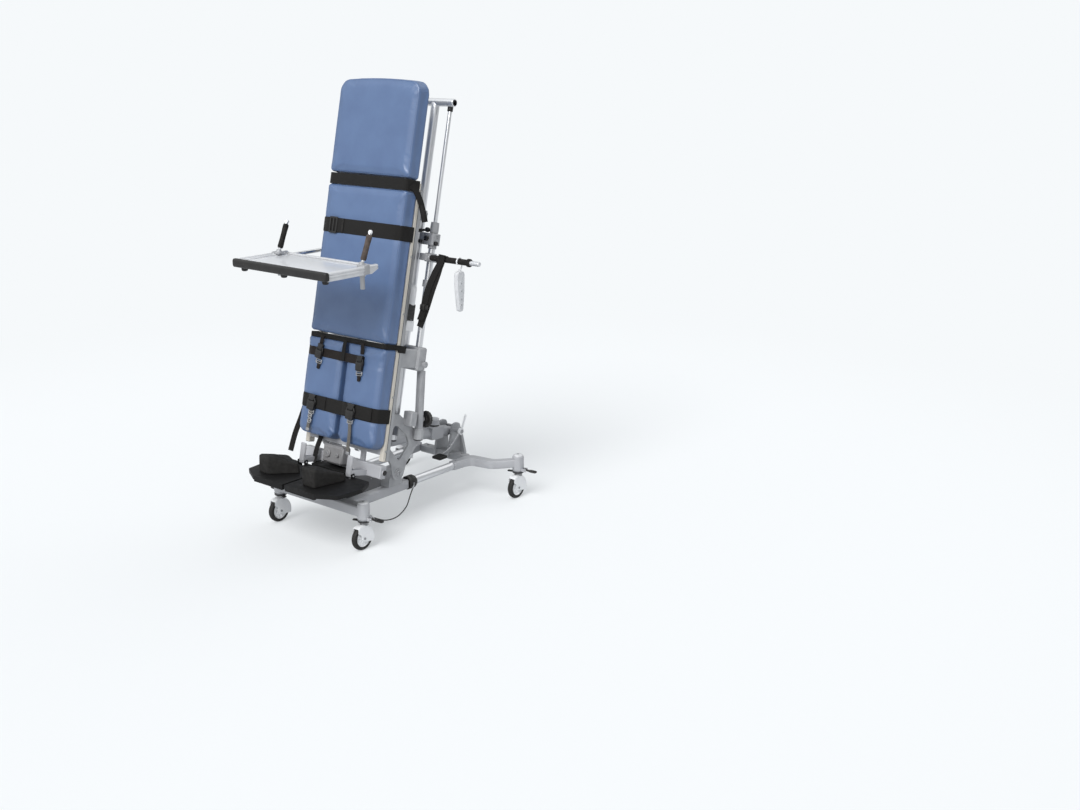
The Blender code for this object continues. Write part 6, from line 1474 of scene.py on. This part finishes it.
# Rail tubes: silver tube, the black collar over its joint with the rail and the ring's lip
def makeRailTubes():
    for side, sign in sides:
        x = sign * 0.19
        wall = rod((x, -0.096, 0.2), (x, 0.2577, 0.2), 0.0225, 0.001, 48)
        collar = turned(mm((0, 0), (33, 0), (36, 3), (36, 20), (34.5, 21.2), (34.5, 25.2), (36, 26.4),
                           (36, 44), (33, 48), (30, 48), (28.5, 50), (28.5, 57), (27, 58), (0, 58)),
                        (x, -0.1, 0.2), (0, 1, 0), 52)
        screws = [socketScrew((x + sign * 0.0345, -0.077, 0.2), (sign, 0, 0), 0.0045, 0.0035)]
        addPiece("railTube_" + side, [(wall, silverRail), (collar, blackPlastic), (screws, zinc)],
                 "base", ("rail_tube_" + side,))


# Small parts on the base: post caps, guard rings with their bars, bolts of the rear casting and the
# pivot blocks, and the dark cover over the base plate
# Screws and bolts on both sides: kind, direction or none for outwards, size, height and points
baseScrews = ((bolt, (0, 0, 1), 0.0085, 0.0045, ((0.2155, -0.252, 0.2254), (0.2155, -0.178, 0.2254))),
              (bolt, None, 0.015, 0.006, ((0.264, -0.215, 0.3),)),
              (bolt, (0, 1, 0), 0.009, 0.005, ((0.078, 0.4885, 0.2265),)),
              (socketScrew, (0, 0, 1), 0.0048, 0.003, ((0.19, 0.2665, 0.225), (0.19, 0.2895, 0.225))),
              (bolt, (0, 0, 1), 0.0095, 0.005, ((0.06, 0.41, 0.22), (0.13, 0.41, 0.22))),
              (bolt, None, 0.014, 0.006, ((0.064, 0.45, 0.33),)),
              (socketScrew, (0, 0, 1), 0.0048, 0.0022,
               ((0.045, -0.47, 0.2222), (0.145, -0.47, 0.2222), (0.045, -0.215, 0.2222),
                (0.145, -0.215, 0.2222))))


def makeBaseDetails():
    shaped = []
    for _, x, y, heading in corners:
        cap = turned(mm((0, 250.2), (15, 250), (24, 247.8), (26.2, 244.8), (26.2, 242), (0, 242)),
                     (x, y, 0), (0, 0, 1), 44)
        ring = turned(mm((31.8, 152), (32.8, 152.8), (32.8, 156), (31.8, 156.8)), (x, y, 0), (0, 0, 1),
                      44, True)
        shaped += [(cap, greyPlastic), (ring, darkPaint)]
        guard = turned(mm((23.2, 144), (30, 144), (31.8, 145.5), (31.8, 151.5), (23.2, 151.5)),
                       (x, y, 0), (0, 0, 1), 44, True)
        bar = box((-0.062, -0.0095, 0.1448), (-0.024, 0.0095, 0.1512),
                  worldPlace(x, y, 0, math.radians(heading)), 0.0022, 0.006)
        shaped += [(guard, blackPlastic), (bar, blackPlastic)]
        shaped.append((socketScrew((x, y, 0.2502), (0, 0, 1), 0.0062, 0.0024), zinc))
    for _, sign in sides:
        for kind, way, size, tall, points in baseScrews:
            for x, y, z in points:
                shaped.append((kind((sign * x, y, z), way or (sign, 0, 0), size, tall), zinc))
    lid = plate(-0.164, -0.4985, 0.164, -0.185, (0.006, 0.006, 0.012, 0.012), 5)
    shaped.append((slab(lid, 0.1835, 0.2224, worldPlace(), 0.0025, 4), darkPaint))
    addPiece("baseFittings", shaped, "base", ())


# Small parts on the lying frame: bolts in the profiles' flanks, screws of the cross bracket, plugs in
# the open tube ends, a dark line and a grey band painted as shade along each profile, the foot end's
# bosses
# Screws and bolts on both sides: kind, x, levels along, n, whether outwards, size and height
frameScrews = ((bolt, 0.29, (0.022, 0.3, 0.722, 1.01, 1.29), -0.0925, True, 0.008, 0.0035),
               (bolt, 0.2502, (0.05, 0.176), -0.15, True, 0.01, 0.005),
               (socketScrew, 0.19, (0.1, 0.135), -0.284, False, 0.0052, 0.004),
               (socketScrew, 0.215, (0.475, 0.53), -0.2962, False, 0.0058, 0.004))

# Along each profile's flank a dark line and a grey band behind it, painted shade over the flank's rear
# half: how far out, the two corners in s and n, edge and finish
flankShadeStrips = ((0.2904, (-0.026, -0.101), (1.337, -0.0965), 0.0002, darkPaint),
               (0.2908, (-0.028, -0.119), (1.339, -0.1008), 0.0003, zinc))


def makeFrameDetails():
    shaped = []
    for _, sign in sides:
        for kind, x, levels, n, out, size, tall in frameScrews:
            for s in levels:
                shaped.append((kind(lie(sign * x, s, n), sign * lieAcross if out else -lieOut, size,
                                    tall), zinc))
        cap = turned(mm((0, 0), (14, 0), (16.5, 2), (16.5, 5), (14, 7), (0, 7.5)),
                     lie(sign * 0.3085, 0.475, -0.276), sign * lieAcross, 40)
        end = turned(mm((0, 0), (22.2, 0), (24.5, 1.5), (24, 6), (18, 8.5), (0, 9.2)),
                     lie(sign * 0.27, 0.0815, -0.3405),
                     -unit(lie(0, 0.52, -0.287) - lie(0, 0.085, -0.34)), 44)
        foot = turned(mm((0, 0), (23.5, 0), (25, 1.5), (24.5, 7), (20, 9), (0, 9.5)),
                      lie(sign * 0.17, 0.0602, -0.25), -lieAlong, 44)
        tip, heel = (box((sign * 0.276 - 0.0135, s, -0.1158),
                         (sign * 0.276 + 0.0135, s + 0.004, -0.0808), liePlace(), 0.0012, 0.004)
                     for s in (1.3385, -0.0325))
        shaped += [(cap, castPaint), (end, blackPlastic), (foot, blackPlastic), (tip, blackPlastic),
                   (heel, blackPlastic)]
        # painted shade: the dark line and the grey band over the rear half of each profile's flank
        for face, low, high, edge, finish in flankShadeStrips:
            near, far = sorted((sign * 0.2896, sign * face))
            shaped.append((box((near, *low), (far, *high), liePlace(), edge, edge * 2), finish))
        shaped.append((turned(mm((0, 0), (12, 0), (14, 1), (14, 2.4), (9, 3), (0, 3)),
                              lie(sign * 0.2982, -0.087, -0.094), sign * lieAcross, 36), blackPlastic))
    for x, radius in ((-0.046, 0.022), (0.026, 0.012)):  # bosses on the foot end's middle casting
        boss = turned([(0, -0.002), (radius, -0.002), (radius, 0.005), (radius - 0.0022, 0.0075),
                       (radius * 0.45, 0.0075), (radius * 0.4, 0.005), (0, 0.005)],
                      lie(x, -0.048, -0.016), lieOut, 44)
        shaped.append((boss, darkCast))
        shaped.append((socketScrew(lie(x, -0.048, -0.0112), lieOut, radius * 0.32, 0.003), zinc))
    addPiece("frameFittings", shaped, "tilt_frame", ())


# Actuator: the motor's cap and its dark band, a wiper at the nose and the gear case's screws
actuator = {"slope": 5.961, "eye": (0.0, 0.45, 0.33), "motor": (0.002, -0.14, 0.0),
            "nose": (0.0, -0.494, 0.0), "screwX": (-0.029, 0.033), "screwW": (-0.027, 0.031)}


def makeActuatorDetails():
    a = actuator
    slope = math.radians(a["slope"])
    back, up = (np.array((0.0, math.cos(slope), -math.sin(slope))),
                np.array((0.0, math.sin(slope), math.cos(slope))))
    place = (np.array(a["eye"]), lieAcross, back, up)
    top, nose = put(place, *a["motor"]), put(place, *a["nose"])
    motor = turned(mm((0, 74), (31, 74), (33.6, 76.5), (33.6, 80), (29, 83), (10, 83.5), (0, 83.5)),
                   top, up, 56)
    ring = turned(mm((32.8, 39.5), (33.6, 40), (33.6, 47), (32.8, 47.5)), top, up, 56, True)
    wiper = turned(mm((12.8, 0), (25, 0), (26.2, 1), (25, 4), (14.5, 6.2), (12.8, 6.2)), nose, -back,
                   48, True)
    screws = []
    for x, w in ((x, w) for w in a["screwW"] for x in a["screwX"]):
        screws.append(socketScrew(put(place, x, -0.088, w), back, 0.004, 0.003))
        screws.append(socketScrew(put(place, x, -0.184, w), -back, 0.004, 0.003))
    addPiece("actuatorFittings",
             [(motor, greyPlastic), (ring, blackPlastic), (wiper, blackPlastic), (screws, zinc)],
             "actuator_body", ())


# Release lever: white grip tapering to the hub, the bent arm and the ribbed rubber pedal
def makeReleasePedal():
    t = np.linspace(0, 1, 9)[:, None]
    start, end = np.array((0.112, 0.42, 0.33)), np.array((0.112, 0.468, 0.432))
    lever = tube(start + t * (end - start), np.array((58, 56, 55, 55, 56, 59, 62, 65, 63)) * 1e-4,
                 0.003, 26)
    hub = turned(barrel(0.0118, 0.019, -0.008, 0.008, 0.0012), (0.112, 0.422, 0.345), (1, 0, 0), 48,
                 True)
    line = lineThrough(mm((112, 410, 338), (112, 360, 296), (108, 320, 262), (92, 290, 240)), 8)
    arm = tube(line, 0.006, 0.001, 24)
    world = worldPlace()
    pad = box((0.06, 0.236, 0.222), (0.124, 0.3, 0.2372), world, 0.004, 0.008)
    ribs = [box((0.0665, y, 0.2362), (0.1175, y + 0.004, 0.2386), world, 0.001, 0.0015)
            for y in np.arange(0.243, 0.292, 0.0085)]
    addPiece("releaseLever", [(lever, whitePlastic), (hub, whitePlastic), (arm, zinc),
                              (pad, tyreRubber), (ribs, tyreRubber)], "release_pedal",
             ("release_pedal",))


# The brake cable, held along its whole way: a black sheath with its crimped ends
brakeCable = {"radius": 0.003, "sleeve": 0.0045, "crimp": 0.026,
              "route": ((0.315, -0.496, 0.17), (0.3185, -0.455, 0.14), (0.318, -0.38, 0.106),
                        (0.308, -0.29, 0.096), (0.284, -0.2, 0.116), (0.248, -0.13, 0.153),
                        (0.2285, -0.08, 0.194))}


def makeBrakeCable():
    b = brakeCable
    line = lineThrough(b["route"], 12)
    ends = [rod(near, near + unit(far - near) * b["crimp"], b["sleeve"], 0.0008, 24) for near,
            far in ((line[0], line[9]), (line[-1], line[-8]))]
    addPiece("brakeCable", [(tube(line, b["radius"], 0.0006, 18), blackPlastic), (ends, zinc)], "base",
             ("brake_cable",))


makeWelded()
makeRailTubes()
makeBaseDetails()
makeFrameDetails()
makeActuatorDetails()
makeReleasePedal()
makeBrakeCable()
print("frame and base made")


# Foot blocks: foam wedges high at the toes and low at the heel. Rings of the plan are drawn in by a
# quarter circle towards the top, whose height falls from front to rear
footBlocks = {"bottom": 0.3353, "voxel": 0.0045,
              "right": ((0.076, -0.712, 0.092), (0.169, -0.716, 0.094), (0.207, -0.53, 0.04),
                        (0.02, -0.585, 0.044)),
              "left": ((-0.256, -0.712, 0.092), (-0.176, -0.716, 0.094), (-0.062, -0.6, 0.04),
                       (-0.236, -0.52, 0.044))}


def makeFootBlocks():
    for side, _ in sides:
        plan = np.array(footBlocks[side])
        outline = outlineOf([(x, y, 0.01) for x, y, _ in plan], 7)
        middle = outline.mean(0)
        front, rear = plan[:2, :2].mean(0), plan[2:, :2].mean(0)
        along = rear - front
        turn = np.linspace(0, math.pi / 2, 7)
        scale = np.concatenate([[0.985, 1.0, 0.985], 0.97 - 0.14 * (1 - np.cos(turn))])
        rings = middle + (outline - middle) * scale[:, None, None]
        rings = np.concatenate([rings, middle + (rings[-1] - middle)
                                * np.linspace(0.85, 0.05, 7)[:, None, None]])
        way = np.clip(((rings - front) @ along) / (along @ along), 0, 1)
        tall = np.interp(way, (0.0, 0.36, 0.44, 1.0), (0.093, 0.091, 0.088, 0.042))
        rise = np.concatenate([[0.0, 0.0, 0.5], 1 - (1 - np.sin(turn)) * 0.12, np.ones(7)])[:, None]
        rise[1] = 0.03
        height = footBlocks["bottom"] + tall * rise
        grid = np.stack([rings[..., 0], rings[..., 1], height], -1)
        form = evenMesh("footBlock_" + side, closedShape(grid), footBlocks["voxel"])
        settle(form, "footWedge_" + side, footFoam, "footplate_" + side, "foot_block_" + side)


# The heel plate: behind both footplates, screwed to the front of the cross box, clear of their swing
heelPlate = {"half": 0.15, "y": (-0.452, -0.3885), "z": (0.315, 0.3345), "screws": (-0.125, 0.125)}


def makeHeelPlate():
    half, (front, rear), (low, high) = heelPlate["half"], heelPlate["y"], heelPlate["z"]
    outline = plate(-half, front, half, rear, (0.006, 0.006, 0.003, 0.003), 5)
    screws = [socketScrew((x, -0.402, high), (0, 0, 1), 0.0042, 0.002) for x in heelPlate["screws"]]
    addPiece("heelPlate",
             [(slab(outline, low, high, worldPlace(), 0.0016, 4), footLaminate), (screws, zinc)],
             "tilt_frame", ())


makeFootBlocks()
makeHeelPlate()
print("foot end made")


# The sewn edge of each pad where its front meets its sides: from every point of the outline the
# cover's furthest point towards the corner, smoothed, carries a fine welt with stitches beside it
seams = {"near": 0.016, "welt": 0.0012, "pitch": 0.0065, "stitch": 0.00055, "beside": 0.0042}


def ridgeLine(outline, inward):
    away = np.concatenate([-inward * 0.74, np.full((len(outline), 1), 0.67)], 1)
    start = np.concatenate([outline + inward * 0.01, np.full((len(outline), 1), -0.008)], 1)
    found = []
    for point, direction in zip(start, away):
        near = padCloud[(np.abs(padCloud - point) < seams["near"]).all(1)]
        found.append(near[(near @ direction).argmax()])
    found = np.array(found)
    for _ in range(6):
        found = (np.roll(found, 1, 0) + 2 * found + np.roll(found, -1, 0)) / 4
    return found


def makeSeams():
    shapes, threads = [], []
    for _, kind, sign in padPieces:
        outline, inward = inwardOf(outlineOf(padOutline(kind, sign), 9))
        closed = np.concatenate([outline, outline[:1]])
        length = np.r_[0, np.cumsum(np.linalg.norm(np.diff(closed, axis=0), axis=1))]
        even = np.linspace(0, length[-1], int(length[-1] / seams["pitch"]), endpoint=False)
        outline = np.stack([np.interp(even, length, closed[:, k]) for k in (0, 1)], -1)
        outline, inward = inwardOf(outline)
        line = ridgeLine(outline, inward)
        path = lie(*np.concatenate([line, line[:2]]).T)
        shapes.append(tube(path, seams["welt"], 0.0001, 8, lieOut))
        inner = line + np.concatenate([inward * seams["beside"], np.full((len(line), 1), 0.0)], 1)
        for k in range(len(inner) - 1):
            near = padCloud[(np.abs(padCloud[:, :2] - inner[k, :2]) < 0.005).all(1)]
            if len(near):
                inner[k, 2] = near[:, 2].max() + 0.0002
        world = lie(*inner.T)
        for first, second in zip(world[:-1], world[1:]):
            middle = (first + second) / 2
            reach = (second - first) * 0.3
            threads.append(tube(np.array([middle - reach, middle + 0.0003 * lieOut, middle + reach]),
                                seams["stitch"], 0.0001, 5))
    addPiece("padSeams", [(shapes, vinylSkin), (threads, padThread)], "tilt_frame", ())


makeSeams()
print("seams made")


# Floor, backdrop, light and the camera that the photograph was taken from, fitted to its lines. Broad
# suns light the floor evenly, so it reads as plain pale as the backdrop and keeps soft shadows
studio = {"camera": (4.6905, -4.614, 2.455), "azimuth": 38.5226, "down": 16.0703, "lens": 42.22,
          "pale": "#F6F9FB", "floorSeen": "#F0F2F3", "floorBounce": "#D8DADC", "floorWide": 60.0,
          "fade": (2.6, 5.5), "sky": "#EEF2F6", "world": 0.5, "lift": 0.36,
          "bright": (-0.3, -0.32, 0.9), "turnsBright": (0.42, 0.66), "dim": 0.48, "full": 1.08,
          "suns": (("key", (0.12, -0.66, 0.74), 2.35, 34.0), ("fill", (0.35, -0.9, 0.2), 0.5, 60.0),
                   ("rim", (0.1, 0.8, 0.6), 0.4, 50.0))}


# The floor takes the object's shadow near it and fades with the distance into the backdrop's own pale
def makePaleFloor():
    material, tree, shader, where = startFinish("paleFloor", studio["floorSeen"], 1.0,
                                                Specular_IOR_Level=0.0)
    seen = addNode(tree, "LightPath").outputs["Is Camera Ray"]
    twoTones(tree, shader, seen, (studio["floorBounce"], studio["floorSeen"]))
    away = addNode(tree, "VectorMath", {"operation": "LENGTH"}, {0: where}).outputs["Value"]
    near, far = studio["fade"]
    fade = addNode(tree, "MapRange", {"interpolation_type": "SMOOTHSTEP"}, {"Value": away},
                   From_Min=near, From_Max=far, To_Min=studio["lift"])
    fade = addNode(tree, "Math", {"operation": "MULTIPLY"}, {0: fade.outputs["Result"], 1: seen})
    plain = addNode(tree, "Emission", Color=tone(studio["pale"]), Strength=1.0)
    both = addNode(tree, "MixShader", links={"Fac": fade.outputs["Value"]})
    tree.links.new(shader.outputs["BSDF"], both.inputs[1])
    tree.links.new(plain.outputs["Emission"], both.inputs[2])
    tree.links.new(both.outputs["Shader"], tree.nodes["Material Output"].inputs["Surface"])
    return material


# The world: its own pale towards the camera and in mirrors, brighter towards one side of the sky for
# what is mirrored, and a plain soft light for all else
def makeWorld():
    world = bpy.data.worlds.new("studioWorld")
    bpy.context.scene.world = world
    world.use_nodes = True
    tree = world.node_tree
    tree.nodes.clear()
    rays = addNode(tree, "LightPath").outputs
    seen = addNode(tree, "Math", {"operation": "MAXIMUM"},
                   {0: rays["Is Camera Ray"], 1: rays["Is Glossy Ray"]})
    seen = addNode(tree, "Math", {"operation": "MAXIMUM"},
                   {0: seen.outputs["Value"], 1: rays["Is Transmission Ray"]})
    light = addNode(tree, "Background", Color=tone(studio["sky"]), Strength=studio["world"])
    toward = addNode(tree, "TexCoord").outputs["Generated"]
    across = addNode(tree, "VectorMath", {"operation": "DOT_PRODUCT"}, {0: toward})
    across.inputs[1].default_value, turn = studio["bright"], studio["turnsBright"]
    soft = addNode(tree, "MapRange", {"interpolation_type": "SMOOTHSTEP"},
                   {"Value": across.outputs["Value"]}, From_Min=turn[0], From_Max=turn[1],
                   To_Min=studio["dim"], To_Max=studio["full"])
    power = addNode(tree, "Math", {"operation": "MAXIMUM"},
                    {0: rays["Is Camera Ray"], 1: soft.outputs["Result"]})
    pale = addNode(tree, "Background", links={"Strength": power.outputs["Value"]},
                   Color=tone(studio["pale"]))
    both = addNode(tree, "MixShader", links={"Fac": seen.outputs["Value"]})
    tree.links.new(light.outputs["Background"], both.inputs[1])
    tree.links.new(pale.outputs["Background"], both.inputs[2])
    addNode(tree, "OutputWorld", links={"Surface": both.outputs["Shader"]})


# The floor, the suns and the camera: a sun's holder turns its down direction away from where it stands
def makeStage():
    scene = bpy.context.scene
    scene.view_settings.view_transform = "Standard"
    wide = studio["floorWide"] / 2
    mesh = bpy.data.meshes.new("studioFloor")
    mesh.from_pydata([(-wide, -wide, 0), (wide, -wide, 0), (wide, wide, 0), (-wide, wide, 0)], [],
                     [(0, 1, 2, 3)])
    mesh.materials.append(makePaleFloor())
    floor = bpy.data.objects.new("studioFloor", mesh)
    scene.collection.objects.link(floor)
    makeWorld()
    for name, toward, power, angle in studio["suns"]:
        lamp = bpy.data.lights.new(name, "SUN")
        lamp.energy, lamp.angle = power, math.radians(angle)
        holder = bpy.data.objects.new(name, lamp)
        x, y, z = toward
        holder.rotation_euler = (math.atan2(math.hypot(x, y), z), 0.0, math.atan2(y, x) + math.pi / 2)
        scene.collection.objects.link(holder)
    lens = bpy.data.cameras.new("view")
    lens.lens, lens.sensor_width, lens.sensor_fit = studio["lens"], 36.0, "HORIZONTAL"
    lens.clip_end = 200.0
    camera = bpy.data.objects.new("view", lens)
    camera.location = studio["camera"]
    camera.rotation_euler = (math.radians(90 - studio["down"]), 0.0, math.radians(studio["azimuth"]))
    scene.collection.objects.link(camera)
    scene.camera = camera


makeStage()
print("stage set")
